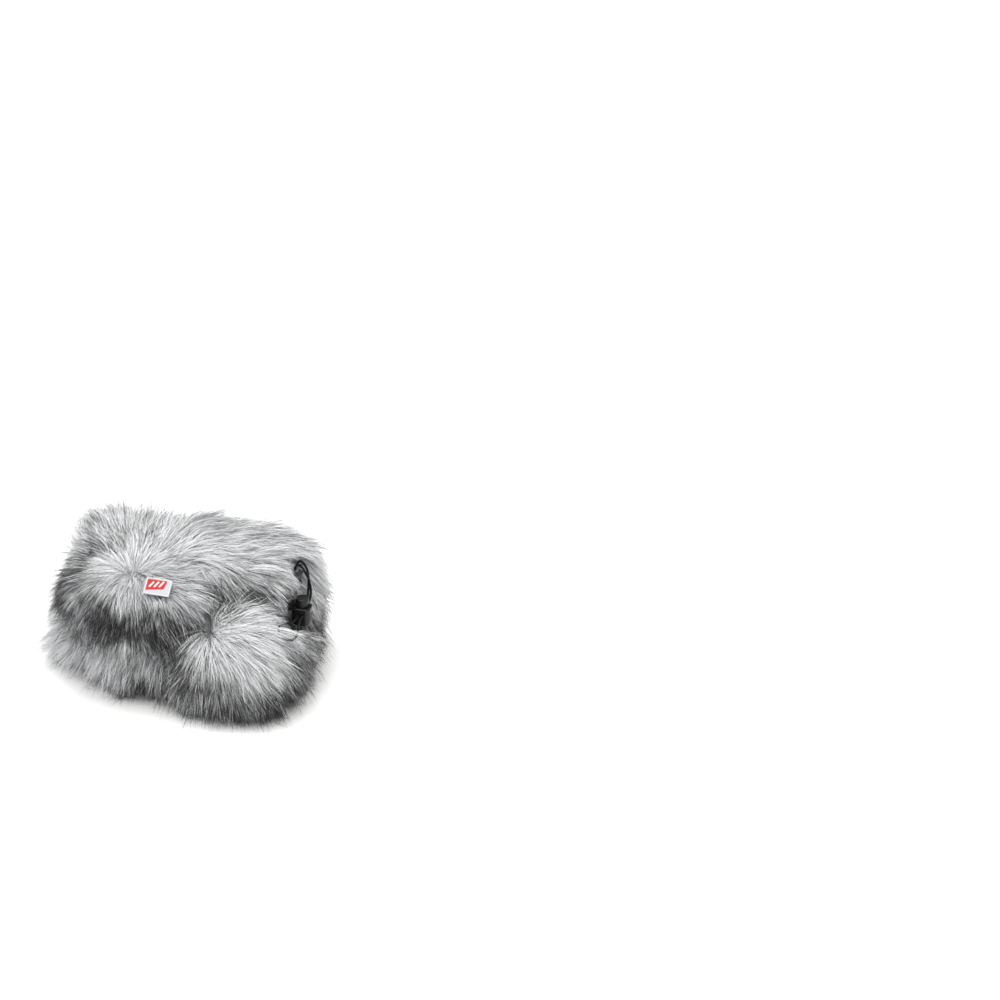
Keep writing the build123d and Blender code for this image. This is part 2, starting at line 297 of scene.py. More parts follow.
def grain_group() -> bpy.types.NodeTree:
    """Shared effect: cloth or moulded grain, as a height and a mask, on Object coordinates.

    Returns:
        The node group, made once.
    """
    name = "surface_grain"
    if name in bpy.data.node_groups:
        return bpy.data.node_groups[name]
    group = bpy.data.node_groups.new(name, "ShaderNodeTree")
    face = group.interface
    face.new_socket("Scale", in_out="INPUT", socket_type="NodeSocketFloat").default_value = 900.0
    face.new_socket("Height", in_out="OUTPUT", socket_type="NodeSocketFloat")
    face.new_socket("Mottle", in_out="OUTPUT", socket_type="NodeSocketFloat")
    enter, leave = group.nodes.new("NodeGroupInput"), group.nodes.new("NodeGroupOutput")
    place = group.nodes.new("ShaderNodeTexCoord")
    fine = node(group, "ShaderNodeTexNoise", noise_dimensions="3D")
    fine.inputs["Detail"].default_value = 3.0
    group.links.new(place.outputs["Object"], fine.inputs["Vector"])
    group.links.new(enter.outputs["Scale"], fine.inputs["Scale"])
    broad = node(group, "ShaderNodeTexNoise", noise_dimensions="3D")
    broad.inputs["Detail"].default_value = 2.0
    group.links.new(place.outputs["Object"], broad.inputs["Vector"])
    group.links.new(math_node(group, "MULTIPLY", enter.outputs["Scale"], 0.06), broad.inputs["Scale"])
    group.links.new(fine.outputs[0], leave.inputs["Height"])
    group.links.new(broad.outputs[0], leave.inputs["Mottle"])
    return group


def weave_group() -> bpy.types.NodeTree:
    """Shared effect: plain weave of threads along two directions, as a height and a thread mask.

    Returns:
        The node group, made once.
    """
    name = "plain_weave"
    if name in bpy.data.node_groups:
        return bpy.data.node_groups[name]
    group = bpy.data.node_groups.new(name, "ShaderNodeTree")
    face = group.interface
    face.new_socket("Threads per metre", in_out="INPUT", socket_type="NodeSocketFloat").default_value = 2000.0
    face.new_socket("Tilt", in_out="INPUT", socket_type="NodeSocketVector")
    face.new_socket("Height", in_out="OUTPUT", socket_type="NodeSocketFloat")
    face.new_socket("Thread", in_out="OUTPUT", socket_type="NodeSocketFloat")
    enter, leave = group.nodes.new("NodeGroupInput"), group.nodes.new("NodeGroupOutput")
    place = group.nodes.new("ShaderNodeTexCoord")
    turned = node(group, "ShaderNodeMapping", vector_type="POINT")
    group.links.new(place.outputs["Object"], turned.inputs["Vector"])
    group.links.new(enter.outputs["Tilt"], turned.inputs["Rotation"])
    parts = group.nodes.new("ShaderNodeSeparateXYZ")
    group.links.new(turned.outputs[0], parts.inputs[0])
    per_metre = math_node(group, "MULTIPLY", enter.outputs["Threads per metre"], math.pi)
    warp = math_node(group, "SINE", math_node(group, "MULTIPLY", parts.outputs[0], per_metre))
    weft = math_node(group, "SINE", math_node(group, "MULTIPLY", parts.outputs[1], per_metre))
    height = math_node(group, "MULTIPLY", warp, weft)
    rounded = math_node(group, "ADD", math_node(group, "ABSOLUTE", warp), math_node(group, "ABSOLUTE", weft))
    group.links.new(math_node(group, "ADD", height, rounded), leave.inputs["Height"])
    group.links.new(math_node(group, "MULTIPLY_ADD", height, 0.5, 0.5), leave.inputs["Thread"])
    return group


@dataclass(frozen=True)
class StrandFinish:
    """Fur fibre: pale along its length, with dark guard tips; reads the strand's own UV map.

    U carries the strand's shade, from dark at 0 to white at 1, with its painted light and painted shade. V runs from
    root to tip.
    """

    name: str = "fur_strands"
    root: tuple[float, float, float] = (0.36, 0.365, 0.375)
    pale: tuple[float, float, float] = (0.76, 0.77, 0.78)
    grey: tuple[float, float, float] = (0.17, 0.172, 0.178)
    tip: tuple[float, float, float] = (0.016, 0.016, 0.018)

    def build(self) -> bpy.types.Material:
        """Mix grey to white by shade, then fade to the dark tip over the last part of the strand.

        Returns:
            The material.
        """
        material, tree, shader = new_material(self.name)
        uv = node(tree, "ShaderNodeUVMap", uv_map="OFBake")
        parts = tree.nodes.new("ShaderNodeSeparateXYZ")
        tree.links.new(uv.outputs[0], parts.inputs[0])
        shade, along = parts.outputs[0], parts.outputs[1]
        body = mix_colour(tree, ramp(tree, shade, 0.05, 0.62), self.grey, self.pale)
        body = mix_colour(tree, ramp(tree, along, 0.0, 0.30), mix_colour(tree, 0.5, body, self.root), body)
        start = math_node(tree, "MULTIPLY_ADD", shade, 0.78, 0.15)
        tipped = ramp(tree, along, start, math_node(tree, "ADD", start, 0.34))
        tree.links.new(mix_colour(tree, tipped, body, self.tip), shader.inputs["Base Color"])
        shader.inputs["Roughness"].default_value = 0.52
        shader.inputs["Specular IOR Level"].default_value = 0.35
        return material


@dataclass(frozen=True)
class GrainFinish:
    """Plain coloured stuff with a fine grain in its bump and a slow mottle in its colour."""

    name: str
    colour: tuple[float, float, float]
    roughness: float = 0.6
    grain_per_metre: float = 900.0
    bump_mm: float = 0.05
    mottle: float = 0.15
    metallic: float = 0.0
    specular: float = 0.5

    def build(self) -> bpy.types.Material:
        """Wire the shared grain group to colour, roughness and bump.

        Returns:
            The material.
        """
        material, tree, shader = new_material(self.name)
        grain = node(tree, "ShaderNodeGroup", node_tree=grain_group())
        grain.inputs["Scale"].default_value = self.grain_per_metre
        darker = tuple(c * (1.0 - self.mottle) for c in self.colour)
        lighter = tuple(min(c * (1.0 + self.mottle), 1.0) for c in self.colour)
        tree.links.new(mix_colour(tree, grain.outputs["Mottle"], darker, lighter), shader.inputs["Base Color"])
        rough = math_node(tree, "MULTIPLY_ADD", grain.outputs["Mottle"], 0.18, self.roughness - 0.09)
        tree.links.new(rough, shader.inputs["Roughness"])
        add_bump(tree, shader, grain.outputs["Height"], self.bump_mm, 0.8)
        shader.inputs["Metallic"].default_value = self.metallic
        shader.inputs["Specular IOR Level"].default_value = self.specular
        return material


@dataclass(frozen=True)
class WovenFinish:
    """Woven cloth on a tilted plane, raised by the weave, with painted shade: its low cells take a darker copy of
    the colour.
    """

    name: str
    colour: tuple[float, float, float]
    shadow: float = 0.62
    threads_per_metre: float = 2200.0
    tilt: tuple[float, float, float] = (0.0, 0.0, 0.0)
    bump_mm: float = 0.12
    roughness: float = 0.7
    sheen: float = 0.2

    def build(self) -> bpy.types.Material:
        """Wire the shared weave group, with a little grain over it.

        Returns:
            The material.
        """
        material, tree, shader = new_material(self.name)
        weave = node(tree, "ShaderNodeGroup", node_tree=weave_group())
        weave.inputs["Threads per metre"].default_value = self.threads_per_metre
        weave.inputs["Tilt"].default_value = self.tilt
        grain = node(tree, "ShaderNodeGroup", node_tree=grain_group())
        grain.inputs["Scale"].default_value = 2500.0
        # Painted shade: the shadow factor gives a darker copy of the colour for the weave's low cells; the mottle
        # also darkens it at random.
        dark = tuple(c * self.shadow for c in self.colour)
        cloth = mix_colour(tree, weave.outputs["Thread"], dark, self.colour)
        worn = math_node(tree, "MULTIPLY", grain.outputs["Mottle"], 0.35)
        tree.links.new(mix_colour(tree, worn, cloth, dark), shader.inputs["Base Color"])
        add_bump(tree, shader, weave.outputs["Height"], self.bump_mm, 0.9)
        shader.inputs["Roughness"].default_value = self.roughness
        shader.inputs["Sheen Weight"].default_value = self.sheen
        return material


def settle(obj: bpy.types.Object, material: bpy.types.Material, slot: str, *stands_for: str,
           body: str = BODY) -> bpy.types.Object:
    """Finish a new piece: material, body and the CAD nodes it stands for.

    Args:
        obj: the piece.
        material: its finish.
        slot: not used.
        stands_for: CAD nodes that it replaces.
        body: the moving body that carries it.

    Returns:
        The same piece.
    """
    obj.data.materials.append(material)
    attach(obj, body)
    if stands_for:
        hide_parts(*stands_for)
    LOG.info("%s: %d faces", obj.name, len(obj.data.polygons))
    return obj


def dress(name: str, material: bpy.types.Material) -> None:
    """Give a carried-over CAD node a better material in every slot.

    Args:
        name: the node's name.
        material: its finish.
    """
    obj = bpy.data.objects[name]
    for slot in obj.material_slots:
        slot.material = material
    LOG.info("dressed %s with %s", name, material.name)


# ------------------------------------------------------------------------------------------
# the fold's lobes
# ------------------------------------------------------------------------------------------
class Comb(Enum):
    """How the pile of a lobe is combed."""

    CROWN_LEFT = "crown_left"
    CROWN_RIGHT = "crown_right"
    HANGING = "hanging"
    TUFT = "tuft"
    DOME = "dome"
    FLAP = "flap"


@dataclass
class Lobe:
    """One bulge of the folded sleeve: a superellipsoid |x/a|^e + |y/b|^e + |z/c|^e = 1.

    Attributes:
        name: the piece's name.
        centre: middle, in millimetres.
        radii: half-sizes of the pile's outer surface, in millimetres.
        power: the exponent e, 2 for an ellipsoid, more for squarer sides.
        comb: how its pile lies.
        depth: how far the underfur lies inside the pile's outer surface, in millimetres.
        share: strands for each square centimetre of skin.
        length: usual strand length in millimetres.
        pale: how much paler its pile is than the rest, 0 to 1.
    """

    name: str
    centre: tuple[float, float, float]
    radii: tuple[float, float, float]
    power: float
    comb: Comb
    depth: float = 8.0
    share: float = 215.0
    length: float = 34.0
    pale: float = 0.0

    def middle(self) -> np.ndarray:
        """Centre in metres."""
        return np.array(self.centre) * MM

    def half(self, inset: float = 0.0) -> np.ndarray:
        """Half-sizes in metres, drawn in by inset millimetres."""
        return (np.array(self.radii) - inset) * MM

    def level(self, p: np.ndarray, inset: float = 0.0) -> np.ndarray:
        """Superellipsoid level of each point: below 1 inside, 1 on the surface, above 1 outside."""
        q = np.abs((p - self.middle()) / self.half(inset))
        return (q**self.power).sum(axis=-1) ** (1.0 / self.power)

    def normal(self, p: np.ndarray) -> np.ndarray:
        """Outward unit normal, the level's gradient direction."""
        q = (p - self.middle()) / self.half(self.depth)
        return unit(np.sign(q) * np.abs(q) ** (self.power - 1.0) / self.half(self.depth))

    def skin(self, rows: int = 56, cols: int = 96) -> tuple[np.ndarray, np.ndarray]:
        """Underfur surface: sphere directions (u round, v from pole to pole) scaled to level 1.

        Args:
            rows: points from one pole to the other, poles left out.
            cols: points round.

        Returns:
            Vertices and quad faces; the poles are closed with fans of thin quads.
        """
        v = (np.arange(rows) + 0.5) / rows * math.pi
        u = np.arange(cols) / cols * 2.0 * math.pi
        v, u = np.meshgrid(v, u, indexing="ij")
        d = np.stack([np.sin(v) * np.cos(u), np.sin(v) * np.sin(u), np.cos(v)], axis=-1).reshape(-1, 3)
        scale = (np.abs(d) ** self.power).sum(axis=1, keepdims=True) ** (-1.0 / self.power)
        p = self.middle() + d * scale * self.half(self.depth)
        p = p + self.normal(p) * (ripple(p, 46 * MM, 11)[:, None] * 2.2 + ripple(p, 17 * MM, 12)[:, None] * 0.8) * MM
        p[:, 2] = np.maximum(p[:, 2], 5.0 * MM)
        top = p[:cols].mean(axis=0, keepdims=True)
        bottom = p[-cols:].mean(axis=0, keepdims=True)
        p = np.concatenate([p, top, bottom])
        faces = grid_faces(rows, cols)[:, ::-1]
        ring = np.arange(cols)
        nxt = (ring + 1) % cols
        a, b = rows * cols, rows * cols + 1
        fan_top = np.stack([np.full(cols, a), ring, nxt], axis=1)
        base = (rows - 1) * cols
        fan_bottom = np.stack([np.full(cols, b), base + nxt, base + ring], axis=1)
        tris = np.concatenate([faces[:, [0, 1, 2]], faces[:, [0, 2, 3]], fan_top, fan_bottom])
        return p, tris


LOBES = [
    Lobe("top_left_run", (-34, 8, 103), (74, 87, 37), 3.1, Comb.CROWN_LEFT),
    Lobe("top_right_run", (39, 41, 99), (76, 60, 46), 3.3, Comb.CROWN_RIGHT, length=42.0),
    Lobe("top_left_corner", (-82, 50, 95), (35, 44, 32), 2.4, Comb.TUFT, share=125.0, length=46.0, pale=0.2),
    Lobe("left_turn", (-44, 20, 50), (56, 72, 49), 2.9, Comb.HANGING, length=40.0),
    Lobe("right_dome", (58, -9, 55), (68, 70, 58), 2.5, Comb.DOME, length=36.0, pale=0.04),
    Lobe("middle_run", (0, 8, 52), (62, 66, 48), 2.8, Comb.HANGING, length=38.0),
    Lobe("back_runs", (14, 46, 52), (108, 48, 50), 3.8, Comb.HANGING, share=140.0),
    Lobe("closed_end", (-96, 22, 38), (36, 54, 36), 2.4, Comb.FLAP, depth=13.0, share=90.0, length=42.0,
         pale=0.36),
]


@dataclass
class Underfur:
    """Dense underfur: one soft closed lobe for each bulge of the fold, dark grey as painted shade under the pile."""

    lobes: list[Lobe]
    # Dark grey: painted shade deep in the pile, under the strands.
    finish: GrainFinish = GrainFinish("underfur", (0.17, 0.172, 0.18), 0.9, 700.0, 0.9, 0.35)

    def build(self) -> list[bpy.types.Object]:
        """Build every lobe's skin; the first ones stand for the two solid piles.

        Returns:
            One piece a lobe.
        """
        material = self.finish.build()
        made = []
        stands_for = {"top_left_run": ("body_fur_pile",), "closed_end": ("nose_fur_pile",)}
        for lobe in self.lobes:
            verts, faces = lobe.skin()
            obj = settle(mesh_object(f"underfur_{lobe.name}", verts, faces), material, "fur_pile",
                         *stands_for.get(lobe.name, ()))
            made.append(obj)
        return made


# ------------------------------------------------------------------------------------------
# the pile
# ------------------------------------------------------------------------------------------
@dataclass
class Parting:
    """A place in front of which no strand passes, because a piece lies on the pile there.

    A slab or tube is swept outwards: a point is covered when, in the parting's own axes, it is within the
    half-sizes across and between the lowest and highest height.
    """

    centre: tuple[float, float, float]
    across: tuple[float, float, float]
    outward: tuple[float, float, float]
    half: tuple[float, float]
    height: tuple[float, float] = (0.0, 40.0)

    def covers(self, line: np.ndarray) -> np.ndarray:
        """Whether each strand has a point, or a middle of a step, inside the parting.

        Args:
            line: centre lines, in metres.

        Returns:
            One flag a strand.
        """
        mid = (line[:, 1:] + line[:, :-1]) / 2.0
        q = np.concatenate([line, mid], axis=1) / MM - np.array(self.centre)
        w = unit(np.array(self.outward, dtype=float))
        u = unit(np.array(self.across, dtype=float))
        v = np.cross(w, u)
        inside = (np.abs(q @ u) < self.half[0]) & (np.abs(q @ v) < self.half[1])
        inside &= (q @ w > self.height[0]) & (q @ w < self.height[1])
        return inside.any(axis=1)


@dataclass(frozen=True)
class Zone:
    """A soft round zone of paler or darker pile, either the fur's own tone, painted light or painted shade: its
    change falls off as exp(-distance^2 / radius^2).

    Attributes:
        centre: middle, in millimetres.
        radius: reach, in millimetres.
        change: what it adds to the shade at its middle.
    """

    centre: tuple[int, int, int]
    radius: int
    change: float


# Paler zones: paler fur at the two partings, plus painted highlights, namely the bright sheen on the dome and the
# lit band along the top.
PALE_FUR_AND_PAINTED_LIGHT_ZONES = (
    Zone((82, -57, 98), 22, 0.45), Zone((78, -32, 108), 20, 0.44), Zone((90, -70, 78), 22, 0.42),
    Zone((-35, -29, 136), 9, 0.30), Zone((56, -62, 88), 11, 0.36), Zone((60, -84, 20), 26, 0.12),
    Zone((-41, -42, 132), 15, 0.32), Zone((0, 4, 136), 32, 0.34), Zone((106, 52, 128), 28, 0.48),
    Zone((64, 36, 140), 32, 0.42), Zone((55, -55, 92), 20, 0.18), Zone((-105, 66, 124), 40, 0.18),
    Zone((-58, -46, 50), 18, 0.32), Zone((-84, -40, 52), 30, 0.20), Zone((-50, -52, 82), 26, 0.34),
    Zone((-4, -52, 80), 26, 0.28), Zone((100, 48, 132), 18, 0.20),
)
# Darker zones: darker fur round the lock and at the rims, plus painted shade in the creases, in the gaps between
# lobes and under the label.
DARK_FUR_AND_PAINTED_SHADE_ZONES = (
    Zone((112, -4, 96), 22, -0.46), Zone((55, -14, 124), 15, -0.46), Zone((110, 30, 118), 14, -0.28),
    Zone((-2, -74, 112), 20, -0.36), Zone((112, -56, 36), 34, -0.34), Zone((-38, -74, 114), 20, -0.36),
    Zone((-92, -40, 20), 24, -0.24), Zone((22, -66, 84), 22, -0.20), Zone((76, -78, 38), 28, -0.14),
    Zone((48, -80, 34), 24, -0.12), Zone((30, -74, 14), 24, -0.18), Zone((120, 40, 60), 30, -0.18),
    Zone((30, 96, 140), 20, -0.34), Zone((-100, -40, 108), 22, -0.26), Zone((-76, -36, 130), 26, -0.24),
    Zone((36, -14, 128), 16, -0.46), Zone((-12, -55, 42), 20, -0.24), Zone((42, -62, 66), 14, -0.20),
    Zone((-52, -72, 120), 18, -0.14),
)
FUR_TONE_AND_PAINTED_LIGHT_ZONES = PALE_FUR_AND_PAINTED_LIGHT_ZONES + DARK_FUR_AND_PAINTED_SHADE_ZONES


@dataclass
class Pile:
    """Standing pile: tapered ribbons, combed, drooping, gathered in locks.

    Attributes:
        lobes: the bulges it grows on.
        whorl_left: parting on the top run, in millimetres.
        whorl_right: parting on the dome, in millimetres.
        segments: straight steps along a strand.
        width: ribbon width at its root, in millimetres.
        locks: spacing in millimetres of each size of lock, and how far tips are drawn to its middle, 0 to 1.
        reach: farthest that tips may stand in X, Y and Z, in millimetres.
        stray: share of longer guard hairs that stand free of the locks.
        piece_limit: most strands in one piece.
    """

    lobes: list[Lobe]
    whorl_left: tuple[float, float, float] = (-35.0, -29.0, 136.0)
    whorl_right: tuple[float, float, float] = (56.0, -62.0, 86.0)
    segments: int = 4
    width: float = 0.38
    locks: tuple[tuple[float, float], ...] = ((3.6, 0.40), (11.0, 0.24))
    reach: tuple[float, float, float] = (147.0, 109.0, 156.0)
    stray: float = 0.06
    piece_limit: int = 27000
    finish: StrandFinish = StrandFinish()
    partings: list["Parting"] = field(default_factory=list)

    def roots(self, lobe: Lobe, rng: np.random.Generator) -> tuple[np.ndarray, np.ndarray]:
        """Scatter roots evenly by area over a lobe, and drop those buried in another lobe.

        Args:
            lobe: the bulge.
            rng: seeded generator.

        Returns:
            Root places and outward normals.
        """
        verts, tris = lobe.skin()
        a, b, c = verts[tris[:, 0]], verts[tris[:, 1]], verts[tris[:, 2]]
        area = np.linalg.norm(np.cross(b - a, c - a), axis=1) / 2.0
        count = int(area.sum() * 1e4 * lobe.share)
        pick = np.searchsorted(np.cumsum(area) / area.sum(), rng.random(count))
        pick = np.minimum(pick, len(tris) - 1)
        r, s = np.sqrt(rng.random(count))[:, None], rng.random(count)[:, None]
        p = a[pick] * (1 - r) + b[pick] * r * (1 - s) + c[pick] * r * s
        n = lobe.normal(p)
        keep = np.ones(count, dtype=bool)
        for other in self.lobes:
            if other is not lobe:
                keep &= other.level(p, other.depth) > 0.985
        keep &= (n[:, 2] > -0.45) | (rng.random(count) < 0.35)
        return p[keep], n[keep]

    @staticmethod
    def parting(p: np.ndarray, centre: tuple[float, float, float],
                core: float = 34.0) -> tuple[np.ndarray, np.ndarray]:
        """Directions away from a parting, fading to nothing inside its core, and a mask of the core.

        Args:
            p: roots.
            centre: the parting's middle, in millimetres.
            core: the core's reach, in millimetres.

        Returns:
            The directions, and the core's mask from 0 to 1.
        """
        away = p - np.array(centre) * MM
        far = np.linalg.norm(away, axis=1, keepdims=True)
        return away / np.sqrt(far**2 + (0.5 * core * MM) ** 2), np.exp(-((far / (core * MM)) ** 2))

    def flow(self, lobe: Lobe, p: np.ndarray, n: np.ndarray) -> tuple[np.ndarray, np.ndarray, np.ndarray]:
        """Combing direction, lift and droop of the pile at each root.

        The direction is a radial field about the nearest parting plus gravity and a slow wander, laid
        flat on the skin.

        Args:
            lobe: the bulge.
            p: roots.
            n: outward normals.

        Returns:
            Tangent directions, lift in radians and droop from 0 to 1.
        """
        x, y, z = (p[:, i] / MM for i in range(3))
        left, left_core = self.parting(p, self.whorl_left)
        right, right_core = self.parting(p, self.whorl_right)
        front = smoothstep(0.15, 0.7, -n[:, 1])[:, None]
        back = smoothstep(0.3, 0.8, n[:, 1])[:, None]
        lift = np.full(len(p), 0.52)
        droop = np.full(len(p), 0.35)
        if lobe.comb is Comb.CROWN_LEFT:
            across = smoothstep(-44, 10, x)[:, None]
            d = left * (1.0 - 0.35 * across) + across * np.array([0.85, 0.32, 0.05])
            d = d + left_core * np.array([0.30, 0.45, 0.0])
            lift = lift + 0.22 * left_core[:, 0]
            d = d + front * DOWN * 1.4 + back * (DOWN * 0.8)
            tuft = np.exp(-(((x + 92) / 34) ** 2 + ((y - 62) / 44) ** 2))
            d = d + tuft[:, None] * np.array([-0.6, 0.5, 0.9])
            lift = lift + 0.45 * tuft
            droop = droop * (1.0 - 0.8 * tuft)
        elif lobe.comb is Comb.TUFT:
            up = smoothstep(60, 110, z)[:, None]
            d = np.array([-0.85, 0.3, 0.0]) + up * np.array([0.1, 0.0, 0.7]) + (1.0 - up) * DOWN * 0.9
            lift = lift + (0.3 + 0.25 * ripple(p, 26 * MM, 26)) * up[:, 0]
            droop = droop * (1.0 - 0.9 * up[:, 0])
        elif lobe.comb is Comb.CROWN_RIGHT:
            end = smoothstep(72, 118, x)[:, None]
            d = np.array([1.0, 0.22, 0.02]) + front * np.array([0.0, -0.1, -0.65]) + back * (DOWN * 0.9)
            d = d + end * np.array([-0.25, -0.25, -1.2])
            droop = droop + 0.25 * end[:, 0]
        elif lobe.comb is Comb.DOME:
            lower_left = smoothstep(64, 30, x)[:, None]
            d = right + DOWN * (0.42 + 0.55 * lower_left) + np.array([0.15, 0.0, 0.0])
            d = d + right_core * np.array([0.5, 0.25, 0.3])
            lift = lift - 0.08 + 0.22 * right_core[:, 0]
            droop = droop + 0.05
        elif lobe.comb is Comb.FLAP:
            d = np.array([-1.0, -0.1, -0.45]) + 0.4 * unit(p - lobe.middle())
            lift = lift + 0.05
        else:
            d = DOWN + 0.35 * unit((p - lobe.middle()) * np.array([1.0, 1.0, 0.0])) 
            d = d + np.array([-0.12, 0.0, 0.0])
            lift = lift - 0.10
        wander = np.stack([ripple(p, 55 * MM, 21), ripple(p, 55 * MM, 22), ripple(p, 55 * MM, 23)], axis=1)
        d = unit(d) + 0.20 * wander + 0.10 * np.roll(wander, 1, axis=1) * ripple(p, 13 * MM, 25)[:, None]
        d = unit(d)
        into = (d * n).sum(axis=1)
        d = d - n * into[:, None]
        fade = 1.0 - np.linalg.norm(d, axis=1)
        fall = DOWN - n * n[:, 2:3] * -1.0
        d = d + 0.5 * fall * fade[:, None]
        lift = lift + 0.8 * fade * (into > 0.0) + 0.10 * ripple(p, 22 * MM, 24)
        return unit(d), np.clip(lift, 0.2, 1.4), droop

    def shade(self, p: np.ndarray) -> np.ndarray:
        """Shade at each root: a ground that pales towards the top as painted light on the top, plus every zone's
        soft change, which holds painted highlights and painted shade as well as the fur's own tone.

        Args:
            p: roots.

        Returns:
            One value a root, 0 dark to 1 white before clipping.
        """
        q = p / MM
        # Paler towards the top: painted light on the top of the bundle.
        value = 0.56 + 0.16 * smoothstep(112.0, 132.0, q[:, 2])
        # The zones add the fur's own tone together with painted highlights and painted shade.
        for zone in FUR_TONE_AND_PAINTED_LIGHT_ZONES:
            far = ((q - np.array(zone.centre, dtype=float)) ** 2).sum(axis=1)
            value += zone.change * np.exp(-far / zone.radius**2)
        return value

    @staticmethod
    def lock_of(p: np.ndarray, pitch: float, seed: int) -> np.ndarray:
        """Lock number of each root: nearest of the jittered points of a cubic lattice around it.

        Args:
            p: roots.
            pitch: the lattice's spacing in millimetres.
            seed: jitter seed.

        Returns:
            Whole numbers, equal for strands of one lock.
        """
        cell = np.floor(p / (pitch * MM)).astype(np.int64)
        best = np.full(len(p), np.inf)
        owner = np.zeros(len(p), dtype=np.int64)
        for step in np.ndindex(3, 3, 3):
            c = cell + np.array(step) - 1
            key = (c[:, 0] * 73856093) ^ (c[:, 1] * 19349663) ^ (c[:, 2] * 83492791) ^ (seed * 2654435761)
            h = [((key * k) & 0xFFFFFF) / float(0xFFFFFF) for k in (2246822519, 3266489917, 668265263)]
            site = (c + np.stack(h, axis=1)) * pitch * MM
            far = np.linalg.norm(p - site, axis=1)
            near = far < best
            best = np.where(near, far, best)
            owner = np.where(near, key, owner)
        return np.unique(owner, return_inverse=True)[1]

    def curves(self, lobe: Lobe, p: np.ndarray, n: np.ndarray,
               rng: np.random.Generator) -> tuple[np.ndarray, np.ndarray]:
        """Strand centre lines.

        Each line starts lifted off the skin and turns towards the comb and the ground: its direction at
        t is (1 - w) lifted + w drooped, w = t^0.8, summed step by step. Tips are then drawn to the mean
        line of their lock by pull * t^1.5, pushed out of any lobe they would enter, and kept above
        the ground.

        Args:
            lobe: the bulge.
            p: roots.
            n: normals.
            rng: seeded generator.

        Returns:
            Points (strand, step, 3) and each strand's shade.
        """
        comb, lift, droop = self.flow(lobe, p, n)
        count, steps = len(p), self.segments
        core = sum(self.parting(p, w, 24.0)[1] for w in (self.whorl_left, self.whorl_right))
        comb = unit(comb + rng.normal(0.0, 1.0, (count, 3)) * (0.15 + 0.35 * core))
        lift = (lift + rng.normal(0.0, 0.13, count))[:, None]
        end = unit(comb * (1.0 - droop[:, None]) + DOWN * droop[:, None] + n * 0.10)
        stray = rng.random(count) < self.stray
        lift = lift + 0.30 * stray[:, None]
        start = comb * np.cos(lift) + n * np.sin(lift)
        groups = [(self.lock_of(p, pitch, 5 + i), pull) for i, (pitch, pull) in enumerate(self.locks)]
        length = lobe.length * MM * rng.normal(1.0, 0.13, count)
        shade = self.shade(p) + lobe.pale + 0.07 * ripple(p, 24 * MM, 31) + rng.normal(0.0, 0.15, count)
        turn = np.zeros((count, 3))
        for lock, _ in groups:
            locks = lock.max() + 1
            length = length * rng.normal(1.0, 0.09, locks)[lock]
            shade = shade + rng.normal(0.0, 0.05, locks)[lock]
            turn = turn + rng.normal(0.0, 0.14, (locks, 3))[lock]
        length = length * np.where(stray, rng.uniform(1.1, 1.35, count), 1.0)
        shade = shade - 0.22 * stray
        start = unit(start + 0.5 * turn)
        end = unit(end * np.where(stray, 0.8, 1.0)[:, None] + turn + n * 0.25 * stray[:, None])
        line = np.empty((count, steps + 1, 3))
        line[:, 0] = p - n * 1.5 * MM
        for k in range(steps):
            w = ((k + 0.5) / steps) ** 0.8
            line[:, k + 1] = line[:, k] + unit(start * (1.0 - w) + end * w) * (length / steps)[:, None]
        for lock, pull in groups:
            members = np.bincount(lock).astype(float)
            for k in range(1, steps + 1):
                mean = np.stack([np.bincount(lock, line[:, k, i]) / members for i in range(3)], axis=1)
                line[:, k] += ((mean[lock] - line[:, k]) * pull * (k / steps) ** 1.5
                               * np.where(stray, 0.2, 1.0)[:, None])
        for k in range(1, steps + 1):
            for other in self.lobes:
                inset = other.depth - 2.0 - 4.0 * k / steps
                level = other.level(line[:, k], inset)
                inside = level < 1.0
                if inside.any():
                    mid = other.middle()
                    out = mid + (line[:, k] - mid) / np.maximum(level, 0.3)[:, None]
                    line[inside, k] = out[inside]
        line = self.within(line, rng)
        line[:, :, 2] = np.maximum(line[:, :, 2], (0.8 + 0.9 * rng.random(count))[:, None] * MM)
        dark = rng.random(count) < 0.13
        shade = np.where(dark, rng.uniform(0.0, 0.15, count), shade)
        return line, np.clip(shade, 0.02, 0.98)

    def covered(self, line: np.ndarray) -> np.ndarray:
        """Whether each strand passes in front of a piece that lies on the pile.

        Args:
            line: centre lines.

        Returns:
            One flag a strand.
        """
        over = np.zeros(len(line), dtype=bool)
        for parting in self.partings:
            over |= parting.covers(line)
        return over

    def make_room(self, line: np.ndarray, n: np.ndarray, shade: np.ndarray) -> None:
        """Shorten, twice, the strands that cover a piece, and press flat those that still do, darkening them with
        painted shade.

        Args:
            line: centre lines, changed in place.
            n: outward normals at the roots.
            shade: strand shades, changed in place.
        """
        sink = np.linspace(0.0, 3.0, self.segments) * MM
        for share in (0.55, 0.6):
            over = self.covered(line)
            line[over] = line[over, :1] + (line[over] - line[over, :1]) * share
            line[over, 1:] -= n[over, None] * sink[None, :, None]
        over = self.covered(line)
        line[over] = self.pressed(line[over], n[over])
        # Painted shade: pressed strands under a piece are darkened.
        shade[over] *= 0.6

    @staticmethod
    def pressed(line: np.ndarray, n: np.ndarray) -> np.ndarray:
        """Strands pressed flat under a piece: 9 mm along the skin the way they lay, 2.5 mm clear at the tip.

        Args:
            line: centre lines.
            n: outward normals at the roots.

        Returns:
            Centre lines with the same roots.
        """
        lie = line[:, -1] - line[:, 0]
        lie = unit(lie - n * (lie * n).sum(axis=1, keepdims=True) + 1e-9)
        t = np.linspace(0.0, 1.0, line.shape[1])[None, :, None]
        return line[:, :1] + (lie[:, None] * 9.0 + n[:, None] * 2.5) * t * MM

